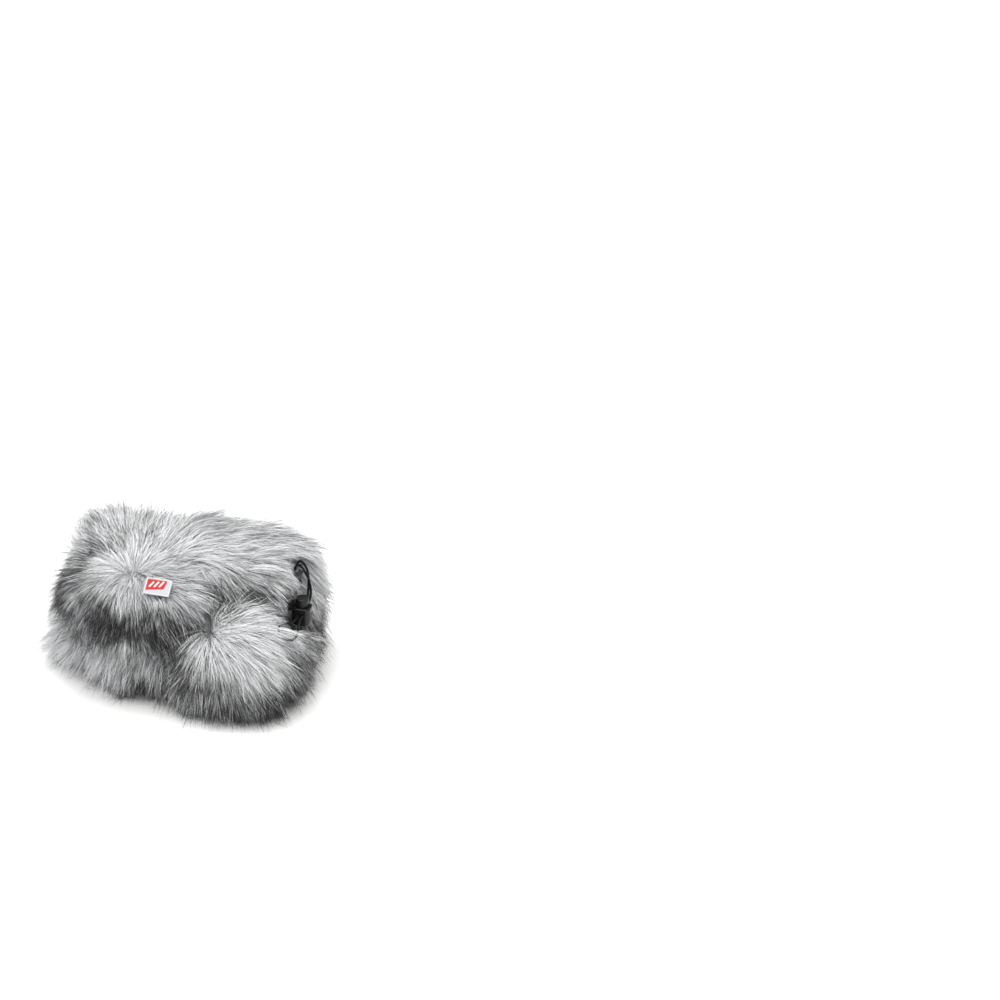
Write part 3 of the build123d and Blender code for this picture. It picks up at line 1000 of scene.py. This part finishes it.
    def within(self, line: np.ndarray, rng: np.random.Generator) -> np.ndarray:
        """Shorten, about its root and by uneven amounts, every strand that would stand past the reach.

        Args:
            line: centre lines.
            rng: seeded generator.

        Returns:
            Centre lines with the same roots.
        """
        root, away = line[:, :1], line - line[:, :1]
        room = np.array(self.reach) * MM
        toward = np.where(away >= 0.0, room - root, np.where(np.arange(3) < 2, -room - root, -1.0))
        share = np.where(np.abs(away) > 1e-6, toward / np.where(np.abs(away) > 1e-6, away, 1.0), 1.0)
        share = np.clip(share.min(axis=(1, 2)), 0.2, 1.0)
        share = np.where(share < 1.0, share * rng.uniform(0.72, 1.0, len(share)), 1.0)
        return root + away * share[:, None, None]

    def ribbons(self, name: str, line: np.ndarray, n: np.ndarray, shade: np.ndarray,
                rng: np.random.Generator, material: bpy.types.Material) -> bpy.types.Object:
        """Turn centre lines into ribbons that taper to a point.

        A ribbon's half-width at t is width/2 * (1 - t^4) * (0.8 + 0.2 sin(pi t)); its flat side faces
        outwards, rolled by a random angle.

        Args:
            name: piece name.
            line: centre lines.
            n: outward normals at the roots.
            shade: strand shades.
            rng: seeded generator.
            material: strand material.

        Returns:
            The new piece.
        """
        count, points = line.shape[:2]
        steps = points - 1
        along = np.gradient(line, axis=1)
        along = unit(along)
        side = unit(np.cross(along, n[:, None, :]))
        upright = unit(np.cross(side, along))
        roll = rng.normal(0.0, 0.55, count)[:, None, None]
        side = side * np.cos(roll) + upright * np.sin(roll)
        t = np.linspace(0.0, 1.0, points)
        half = self.width * MM / 2.0 * (1.0 - t**4) * (0.8 + 0.2 * np.sin(math.pi * t))
        half = half[None, :, None] * rng.uniform(0.75, 1.25, count)[:, None, None]
        left = line[:, :steps] - side[:, :steps] * half[:, :steps]
        right = line[:, :steps] + side[:, :steps] * half[:, :steps]
        pairs = np.stack([left, right], axis=2).reshape(count, steps * 2, 3)
        verts = np.concatenate([pairs, line[:, steps:]], axis=1).reshape(-1, 3)
        per = steps * 2 + 1
        base = (np.arange(count) * per)[:, None]
        k = np.arange(steps - 1)
        quad_a = np.stack([2 * k, 2 * k + 1, 2 * k + 3], axis=1)
        quad_b = np.stack([2 * k, 2 * k + 3, 2 * k + 2], axis=1)
        last = np.array([[2 * steps - 2, 2 * steps - 1, 2 * steps]])
        pattern = np.concatenate([np.stack([quad_a, quad_b], axis=1).reshape(-1, 3), last])
        faces = (base[:, :, None] + pattern[None]).reshape(-1, 3)
        obj = mesh_object(name, verts, faces)
        wide = 0.008
        u = np.tile(np.append(np.tile([-wide, wide], steps), 0.0), count) + np.repeat(shade, per)
        v = np.tile(np.append(np.repeat(t[:steps], 2), 1.0), count)
        uv = np.stack([np.clip(u, 0.0, 1.0), 0.005 + 0.99 * v], axis=1)[faces.ravel()]
        write_uv(obj, uv)
        return settle(obj, material, "fur_pile")

    def build(self) -> list[bpy.types.Object]:
        """Grow the pile of every lobe, split in pieces of a workable size.

        Returns:
            The pieces.
        """
        material = self.finish.build()
        made = []
        for index, lobe in enumerate(self.lobes):
            rng = np.random.default_rng(100 + index)
            p, n = self.roots(lobe, rng)
            line, shade = self.curves(lobe, p, n, rng)
            self.make_room(line, n, shade)
            pieces = max(1, math.ceil(len(p) / self.piece_limit))
            order = np.argsort(p[:, 0], kind="stable")
            for part, rows in enumerate(np.array_split(order, pieces)):
                name = f"pile_{lobe.name}_{part + 1}"
                obj = self.ribbons(name, line[rows], n[rows], shade[rows], rng, material)
                made.append(obj)
        return made


# ------------------------------------------------------------------------------------------
# the sleeve, hem, cord, lock and label
# ------------------------------------------------------------------------------------------
@dataclass
class KnitSleeve:
    """Knitted sleeve: one cut sheet sewn to a tube, flattened, folded in three runs, gathered at its mouth.

    Attributes:
        cut: flat size of the cloth, round and along the sleeve, in millimetres.
        thickness: height of the flattened tube, in millimetres.
        lobes: the underfur that it stays inside.
    """

    lobes: list[Lobe]
    cut: tuple[float, float] = (336.0, 685.0)
    thickness: float = 5.0
    spacing: float = 46.0
    low: float = 19.7
    left_axis: float = -68.85
    right_axis: float = 85.15
    mouth_x: float = 99.0
    mouth_y: float = 36.0
    mouth_half: float = 44.0
    nose_reach: float = 46.0
    finish: GrainFinish = GrainFinish("knit_backing", (0.10, 0.10, 0.11), 0.9, 1400.0, 0.3, 0.2)

    def path(self) -> np.ndarray:
        """Fold line in X and Z from the closed end to the mouth: straight runs and half-circle turns.

        Returns:
            Points, in millimetres.
        """
        turn = self.spacing / 2.0
        z = [self.low + i * self.spacing for i in range(3)]
        run = np.linspace(0.0, 1.0, 30)
        arc = np.linspace(0.0, math.pi, 20)[1:-1]
        left, right = self.left_axis, self.right_axis
        return np.concatenate([
            np.stack([left - self.nose_reach * (1.0 - run[:-1]), np.full(29, z[0])], axis=1),
            np.stack([left + (right - left) * run, np.full(30, z[0])], axis=1),
            np.stack([right + turn * np.sin(arc), z[0] + turn - turn * np.cos(arc)], axis=1),
            np.stack([right + (left - right) * run, np.full(30, z[1])], axis=1),
            np.stack([left - turn * np.sin(arc), z[1] + turn - turn * np.cos(arc)], axis=1),
            np.stack([left + (self.mouth_x - left) * run, np.full(30, z[2])], axis=1),
        ])

    def inside(self, p: np.ndarray, inset: float = 3.0) -> np.ndarray:
        """Draw every point that is outside all the lobes in to the nearest lobe's inner surface.

        Args:
            p: points, in metres.
            inset: how far inside the underfur they end, in millimetres.

        Returns:
            The points, moved where they stood outside.
        """
        levels = np.stack([lobe.level(p, lobe.depth + inset) for lobe in self.lobes])
        nearest, level = levels.argmin(axis=0), levels.min(axis=0)
        middle = np.stack([lobe.middle() for lobe in self.lobes])[nearest]
        return np.where(level[:, None] > 1.0, middle + (p - middle) / level[:, None], p)

    def build(self) -> bpy.types.Object:
        """Carry a slot section along the fold; its two edges meet, unjoined, under the long seam tape.

        Returns:
            The sleeve.
        """
        line = self.path()
        tangent = unit(np.gradient(line, axis=0))
        across = np.stack([-tangent[:, 1], tangent[:, 0]], axis=1)
        step = np.linalg.norm(np.diff(line, axis=0), axis=1)
        s = np.concatenate([[0.0], np.cumsum(step)])[:, None]
        cols = 161
        theta = np.linspace(0.5 * math.pi, 2.5 * math.pi, cols)[None, :]
        c = np.cos(theta)
        slot = squared(c, 0.35)
        drawn = smoothstep(s[-1, 0] - 95.0, s[-1, 0], s)
        nose = np.sqrt(np.clip(1.0 - (1.0 - np.clip(s / self.nose_reach, 0.0, 1.0)) ** 2, 0.0, 1.0))
        half = (self.cut[0] / 4.0) * (1.0 - drawn) + self.mouth_half * drawn
        y = self.mouth_y * drawn + half * nose * slot
        crumple = 3.2 * drawn * np.sin(y / 13.0 * 2.0 * math.pi) + 0.8 * np.sin(y / 31.0 * 2.0 * math.pi + s / 40.0)
        h = np.sin(theta) * self.thickness / 2.0 * (0.25 + 0.75 * nose) + crumple * nose
        x = line[:, 0:1] + across[:, 0:1] * h
        z = line[:, 1:2] + across[:, 1:2] * h
        verts = np.stack([x, y, z], axis=-1).reshape(-1, 3) * MM
        rows = len(line) - 2
        held = self.inside(verts[:rows * cols])
        verts = np.concatenate([held, verts[rows * cols:]])
        obj = mesh_object("knit_sleeve", verts, grid_faces(len(line), cols, close_cols=False))
        settle(obj, self.finish.build(), "knit_backing", "body_knit_backing", "nose_knit_backing")
        return obj


@dataclass
class SeamTapes:
    """Tapes over the sleeve's seams: the long one as built, the end one a band round the flattened tube."""

    sleeve: KnitSleeve
    width: float = 8.0
    proud: float = 0.7
    finish: WovenFinish = WovenFinish("seam_tape", (0.16, 0.16, 0.17), 0.6, 1500.0, bump_mm=0.1)

    def build(self) -> bpy.types.Object:
        """Carry a thin rectangle section round the tube's slot outline, drawn in with the sleeve.

        Returns:
            The end seam's band.
        """
        theta = np.linspace(0.0, 2.0 * math.pi, 160, endpoint=False)[:, None]
        c, s = np.cos(theta), np.sin(theta)
        half = self.sleeve.cut[0] / 4.0
        x = np.array([[-1.0, -1.0, 1.0, 1.0]]) * self.width / 2.0
        high = self.sleeve.thickness / 2.0 + self.proud * np.array([[0.2, 1.0, 1.0, 0.2]])
        y = squared(c, 0.35) * (half + high * 0.2)
        wave = 0.8 * np.sin(y / 31.0 * 2.0 * math.pi)
        z = self.sleeve.low + s * high + wave
        verts = np.stack([self.sleeve.left_axis + np.broadcast_to(x, y.shape), y, z], axis=-1)
        verts = self.sleeve.inside(verts.reshape(-1, 3) * MM, 2.0)
        obj = mesh_object("end_seam_band", verts, grid_faces(160, 4, close_rows=True))
        material = self.finish.build()
        settle(obj, material, "seam_tape", "end_seam_tape")
        dress("long_seam_tape", material)
        return obj


@dataclass
class Hem:
    """Mouth hem: a webbing band gathered in puckers by the cord inside it, with its row of stitches.

    Attributes:
        middle: centre of the gathered mouth, in millimetres.
        half: half the gathered mouth's width, in millimetres.
        gap: half the distance between the band's two layers, in millimetres.
        width: the band's width along the sleeve.
        wall: its thickness.
        puckers: waves from one end of the mouth to the other.
        swell: height of the waves.
    """

    middle: tuple[float, float, float] = (104.2, 36.0, 111.7)
    half: float = 45.0
    gap: float = 4.7
    width: float = 14.0
    wall: float = 4.0
    puckers: float = 6.0
    swell: float = 2.4
    stitch_count: int = 84
    cord_radius: float = 1.2
    finish: WovenFinish = WovenFinish("hem_webbing", (0.05, 0.05, 0.055), 0.45, 1100.0, bump_mm=0.25)
    thread: GrainFinish = GrainFinish("stitch_thread", (0.07, 0.07, 0.075), 0.6, 3000.0, 0.05)

    def ring(self, turn: np.ndarray) -> np.ndarray:
        """Band's middle line: a slot in Y and Z whose two sides wave together, flat near the eyelets.

        Args:
            turn: angles round the mouth, in radians.

        Returns:
            Points in millimetres.
        """
        c, s = np.cos(turn), np.sin(turn)
        y = self.middle[1] + squared(c, 0.55) * self.half
        calm = 1.0 - np.exp(-(((y - 38.0) / 11.0) ** 2))
        phase = (y - self.middle[1]) / self.half * self.puckers * math.pi
        z = self.middle[2] + s * self.gap + self.swell * calm * np.sin(phase)
        x = self.middle[0] + 1.4 * calm * np.sin(phase * 0.7 + 1.0)
        return np.stack([x, y, z], axis=1)

    def frame_at(self, turn: np.ndarray) -> tuple[np.ndarray, np.ndarray, np.ndarray]:
        """Middle line, outward direction and running direction at each angle round the mouth.

        Args:
            turn: angles round the mouth, in radians.

        Returns:
            Three arrays, (n, 3).
        """
        line = self.ring(turn)
        along = unit(self.ring(turn + 1e-3) - self.ring(turn - 1e-3))
        out = unit(np.cross(along, ALONG_X))
        return line, out, along

    def band(self) -> bpy.types.Object:
        """Carry a rounded rectangle section round the mouth.

        Returns:
            The band.
        """
        turn = np.linspace(0.0, 2.0 * math.pi, 420, endpoint=False)
        line, out, _ = self.frame_at(turn)
        section = np.linspace(0.0, 2.0 * math.pi, 28, endpoint=False)
        c, s = np.cos(section), np.sin(section)
        sx = squared(c, 0.45) * self.width / 2.0
        sr = squared(s, 0.6) * self.wall / 2.0
        verts = line[:, None] + out[:, None] * sr[None, :, None]
        verts = verts + sx[None, :, None] * ALONG_X
        faces = grid_faces(420, 28, close_rows=True)
        return mesh_object("hem_band", verts.reshape(-1, 3) * MM, faces)

    def stitches(self) -> bpy.types.Object:
        """Lay short thread capsules on the band's outside, end to end with gaps, in one row.

        Returns:
            The row of stitches.
        """
        fine = np.linspace(0.0, 2.0 * math.pi, 4000)
        run = np.concatenate([[0.0], np.cumsum(np.linalg.norm(np.diff(self.ring(fine), axis=0), axis=1))])
        turn = np.interp(np.linspace(0.0, run[-1], self.stitch_count, endpoint=False), run, fine)
        line, out, along = self.frame_at(turn)
        v, u = np.meshgrid(np.linspace(0.0, math.pi, 7), np.linspace(0.0, 2.0 * math.pi, 8, endpoint=False),
                           indexing="ij")
        long = -np.cos(v) * 1.3
        wide = np.sin(v) ** 0.6 * 0.34
        sphere = np.stack([long, wide * np.cos(u), wide * np.sin(u)], axis=-1).reshape(-1, 3)
        base = line + out * (self.wall / 2.0 + 0.05) + np.array([-4.6, 0.0, 0.0])
        verts = (base[:, None] + along[:, None] * sphere[None, :, 0:1] + out[:, None] * sphere[None, :, 1:2]
                 + ALONG_X * sphere[None, :, 2:3])
        faces = grid_faces(7, 8)[None] + (np.arange(len(base)) * len(sphere))[:, None, None]
        return mesh_object("hem_stitch_row", verts.reshape(-1, 3) * MM, faces.reshape(-1, 4))

    def cord(self) -> bpy.types.Object:
        """Carry a round section round the mouth inside the band: the drawcord's hidden stretch.

        Returns:
            The hidden stretch of cord.
        """
        turn = np.linspace(0.0, 2.0 * math.pi, 300, endpoint=False)
        line, out, _ = self.frame_at(turn)
        verts = line[:, None] + rings(10, out, ALONG_X) * self.cord_radius
        return mesh_object("drawcord_in_hem_run", verts.reshape(-1, 3) * MM,
                           grid_faces(300, 10, close_rows=True)[:, ::-1])

    def build(self, cord_material: bpy.types.Material) -> None:
        """Build band, stitches and the cord inside, and dress the eyelets.

        Args:
            cord_material: the braided cord's finish.
        """
        settle(self.band(), self.finish.build(), "hem_webbing", "mouth_hem_channel")
        settle(self.stitches(), self.thread.build(), "sewing_thread", "hem_stitches")
        settle(self.cord(), cord_material, "drawcord", "drawcord_in_hem")
        dress("hem_eyelets", GrainFinish("eyelet_metal", (0.05, 0.05, 0.055), 0.35, 1500.0, 0.02,
                                         metallic=0.8).build())


@dataclass
class Drawcord:
    """Braided drawcord loop: leaves one eyelet, goes through the lock, turns and comes back."""

    diameter: float = 2.4
    length: float = 286.9
    carriers: int = 8
    route: tuple[tuple[float, float, float], ...] = (
        (104.2, 41.0, 116.4), (104.5, 41.3, 126.9), (110.0, 40.2, 131.4), (117.7, 38.0, 122.4),
        (119.4, 35.0, 104.3), (119.4, 28.0, 92.3), (119.4, -13.5, 92.3), (113.8, -22.5, 94.3),
        (107.2, -31.0, 95.3), (111.2, -43.5, 94.3), (119.6, -45.5, 89.8), (125.1, -36.5, 84.8),
        (125.6, -24.0, 87.0), (122.6, -13.0, 92.3), (122.6, 27.0, 92.3), (123.1, 32.0, 105.3),
        (118.2, 32.5, 120.4), (110.0, 34.2, 129.9), (104.5, 34.7, 126.4), (104.2, 35.0, 116.4),
    )
    finish: GrainFinish = GrainFinish("braided_cord", (0.006, 0.006, 0.007), 0.7, 2600.0, 0.12, 0.4,
                                         specular=0.2)

    def spine(self) -> np.ndarray:
        """Points along the cord's smooth spline, whose control points are the route.

        Returns:
            Points, in metres.
        """
        curve = bpy.data.curves.new("cord_line", "CURVE")
        curve.dimensions = "3D"
        curve.resolution_u = 24
        spline = curve.splines.new("NURBS")
        spline.points.add(len(self.route) - 1)
        points = np.ones((len(self.route), 4))
        points[:, :3] = np.array(self.route) * MM
        spline.points.foreach_set("co", points.ravel())
        spline.order_u = 3
        spline.use_endpoint_u = True
        holder = bpy.data.objects.new("cord_line", curve)
        mesh = bpy.data.meshes.new_from_object(holder)
        line = np.empty(len(mesh.vertices) * 3)
        mesh.vertices.foreach_get("co", line)
        bpy.data.objects.remove(holder)
        bpy.data.meshes.remove(mesh)
        return line.reshape(-1, 3)

    def build(self, material: bpy.types.Material) -> bpy.types.Object:
        """Carry a round section along the spline; two sets of braid strands cross as helices.

        The radius at angle a and arc length s is r (0.93 + 0.08 max(cos(m a + k s), cos(m a - k s))).

        Args:
            material: the braided cord's finish.

        Returns:
            The loop.
        """
        line = self.spine()
        step = np.linalg.norm(np.diff(line, axis=0), axis=1)
        arc = np.concatenate([[0.0], np.cumsum(step)])
        steps, sides = 620, 16
        even = np.linspace(0.0, arc[-1], steps)
        line = np.stack([np.interp(even, arc, line[:, i]) for i in range(3)], axis=1)
        tangent = unit(np.gradient(line, axis=0))
        side = unit(np.cross(tangent, np.array([0.31, 0.17, 0.93])))
        up = np.cross(side, tangent)
        angle = np.linspace(0.0, 2.0 * math.pi, sides, endpoint=False)
        wave = self.carriers / 2.0 * angle[None, :]
        run = even[:, None] / (self.diameter * MM) * 2.4
        relief = np.maximum(np.cos(wave + run), np.cos(wave - run))
        radius = self.diameter / 2.0 * MM * (0.93 + 0.08 * relief)
        verts = (line[:, None] + rings(sides, side, up) * radius[..., None]).reshape(-1, 3)
        obj = settle(mesh_object("drawcord_loop", verts, grid_faces(steps, sides)), material,
                     "drawcord", "drawcord")
        LOG.info("drawcord loop: %.0f mm along its line", arc[-1] / MM)
        return obj


@dataclass
class CordLock:
    """Cord lock: moulded body and plunger, kept as built, and a wire spring under the plunger."""

    body: GrainFinish = GrainFinish("lock_body_plastic", (0.006, 0.006, 0.007), 0.30, 1800.0, 0.02, 0.2,
                                     specular=0.35)
    button: GrainFinish = GrainFinish("lock_button_plastic", (0.008, 0.008, 0.009), 0.38, 2200.0, 0.03, 0.2,
                                       specular=0.3)
    spring: GrainFinish = GrainFinish("spring_steel", (0.60, 0.60, 0.62), 0.3, 3000.0, 0.01, 0.1, 1.0)

    wire: float = 0.7
    turns: float = 4.5
    travel: float = 3.8

    def coil(self) -> bpy.types.Object:
        """Carry a round wire section along a helix between the spring's two seats, its ends drawn to a point.

        Returns:
            The spring.
        """
        low, high = (np.array(v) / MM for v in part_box("cord_lock_spring"))
        centre, r = (low + high) / 2.0, (high[0] - low[0]) / 2.0 - self.wire / 2.0
        rise = high[2] - low[2] - self.wire
        t = np.linspace(0.0, 1.0, 180)
        a = t * self.turns * 2.0 * math.pi
        line = np.stack([r * np.cos(a), r * np.sin(a), rise * (t - 0.5)], axis=1) + centre
        radial = np.stack([np.cos(a), np.sin(a), np.zeros_like(a)], axis=1)
        up = np.cross(radial, unit(np.gradient(line, axis=0)))
        thick = self.wire / 2.0 * np.sqrt(np.clip(1.0 - (2.0 * np.abs(t - 0.5)) ** 60, 0.0, 1.0))[:, None, None]
        verts = (line[:, None] + rings(10, radial, up) * thick).reshape(-1, 3) * MM
        obj = settle(mesh_object("lock_spring_coil", verts, grid_faces(180, 10)), self.spring.build(),
                     "spring_steel", "cord_lock_spring", body="cord_lock")
        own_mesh(obj)
        return obj

    def build(self) -> None:
        """Dress the body and plunger, and build the spring under the plunger."""
        dress("cord_lock_body", self.body.build())
        dress("cord_lock_plunger", self.button.build())
        self.coil()


@dataclass
class Label:
    """Sewn label: woven ribbon with border, red field, white bars and tack stitches."""

    tilt: float = math.radians(40.0)

    def build(self) -> None:
        """Dress the label's nodes with weaves turned to its slope."""
        turn = (-self.tilt, 0.0, 0.0)
        dress("label_ribbon", WovenFinish("label_weave", (0.60, 0.62, 0.66), 0.75, 1900.0, turn, 0.10).build())
        dress("label_woven_border", WovenFinish("label_border", (0.70, 0.72, 0.76), 0.8, 1900.0, turn).build())
        dress("label_red_field", WovenFinish("label_red", (0.62, 0.016, 0.024), 0.72, 1900.0, turn).build())
        dress("label_white_motif", WovenFinish("label_white", (0.86, 0.85, 0.84), 0.85, 1900.0, turn).build())
        dress("label_tack_stitches", GrainFinish("tack_thread", (0.55, 0.56, 0.58), 0.6, 3000.0, 0.05).build())


# ------------------------------------------------------------------------------------------
# stage
# ------------------------------------------------------------------------------------------
@dataclass
class Studio:
    """White sweep, soft lights and the camera."""

    azimuth: float = 18.0
    elevation: float = 30.0
    distance: float = 2.78
    aim_right: float = 0.318
    aim_up: float = 0.116
    target: tuple[float, float, float] = (0.0, 0.0, 0.070)

    def camera(self) -> None:
        """Stand the camera off the bundle and aim it so that the bundle lies low and to the left."""
        a, e = math.radians(self.azimuth), math.radians(self.elevation)
        away = Vector((math.sin(a) * math.cos(e), -math.cos(a) * math.cos(e), math.sin(e)))
        right = Vector((math.cos(a), math.sin(a), 0.0))
        up = away.cross(right)
        place = Vector(self.target) + away * self.distance
        aim = Vector(self.target) + right * self.aim_right + up * self.aim_up
        data = bpy.data.cameras.new("camera")
        data.lens, data.sensor_width = 100.0, 36.0
        data.clip_end = 50.0
        obj = bpy.data.objects.new("camera", data)
        ahead = (aim - place).normalized()
        level = (right - ahead * right.dot(ahead)).normalized()
        obj.matrix_world = Matrix.Translation(place) @ Matrix(
            (level, level.cross(ahead), -ahead)).transposed().to_4x4()
        bpy.context.scene.collection.objects.link(obj)
        bpy.context.scene.camera = obj

    def light(self, name: str, place: tuple[float, float, float], size: float, power: float,
              colour: tuple[float, float, float] = (1.0, 1.0, 1.0)) -> None:
        """Add a square area light that points at the bundle.

        Args:
            name: its name.
            place: where it hangs, in metres.
            size: the square's side, in metres.
            power: in watts.
            colour: its colour.
        """
        data = bpy.data.lights.new(name, "AREA")
        data.size, data.energy, data.color = size, power, colour
        obj = bpy.data.objects.new(name, data)
        obj.location = place
        obj.rotation_euler = (Vector((0.0, 0.0, 0.06)) - Vector(place)).to_track_quat("-Z", "Y").to_euler()
        bpy.context.scene.collection.objects.link(obj)

    def build(self) -> None:
        """Build floor, world, lights and camera."""
        half = 40.0
        floor = mesh_object("studio_floor", np.array([(-half, -half, 0), (half, -half, 0), (half, half, 0),
                                                      (-half, half, 0)], dtype=float),
                            np.array([[0, 1, 2, 3]]), smooth=False)
        material, tree, shader = new_material("floor_white")
        shader.inputs["Base Color"].default_value = (0.97, 0.968, 0.965, 1.0)
        shader.inputs["Roughness"].default_value = 0.9
        floor.data.materials.append(material)
        world = bpy.data.worlds.new("studio_white")
        world.use_nodes = True
        sky = world.node_tree.nodes["Background"]
        sky.inputs[0].default_value = (1.0, 1.0, 1.0, 1.0)
        sky.inputs[1].default_value = 0.95
        bpy.context.scene.world = world
        self.light("key", (0.05, -0.75, 2.5), 1.8, 50.0, (1.0, 0.99, 0.97))
        self.light("side", (-1.7, -0.9, 1.3), 1.2, 10.0, (0.97, 0.98, 1.0))
        bpy.context.scene.view_settings.view_transform = "Standard"
        self.camera()


def main() -> None:
    """Build the windscreen piece by piece, then the stage."""
    Studio().build()
    drawcord = Drawcord()
    braid = drawcord.finish.build()
    drawcord.build(braid)
    CordLock().build()
    Label().build()
    Hem().build(braid)
    Underfur(LOBES).build()
    sleeve = KnitSleeve(LOBES)
    sleeve.build()
    SeamTapes(sleeve).build()
    slope = math.radians(40.0)
    label_out = (0.0, -math.sin(slope), math.cos(slope))
    lock_across, lock_out = (0.95, 0.31, 0.0), (0.27, -0.82, 0.50)
    over_label = Parting((-4.0, -65.0, 136.4), (1.0, 0.0, 0.0), label_out, (13.6, 8.2), (-0.5, 40.0))
    over_lock = Parting((121.0, -2.0, 94.0), lock_across, lock_out, (11.0, 15.0), (-25.0, 60.0))
    over_mouth = Parting((113.0, 38.0, 122.0), lock_across, lock_out, (9.5, 9.0), (-6.0, 60.0))
    over_cord = Parting((120.0, 30.0, 106.0), lock_across, lock_out, (7.0, 12.0), (-5.0, 60.0))
    Pile(LOBES, partings=[over_label, over_lock, over_mouth, over_cord]).build()


if __name__ == "__main__":
    logging.basicConfig(level=logging.INFO, format="%(name)s %(message)s")
    main()
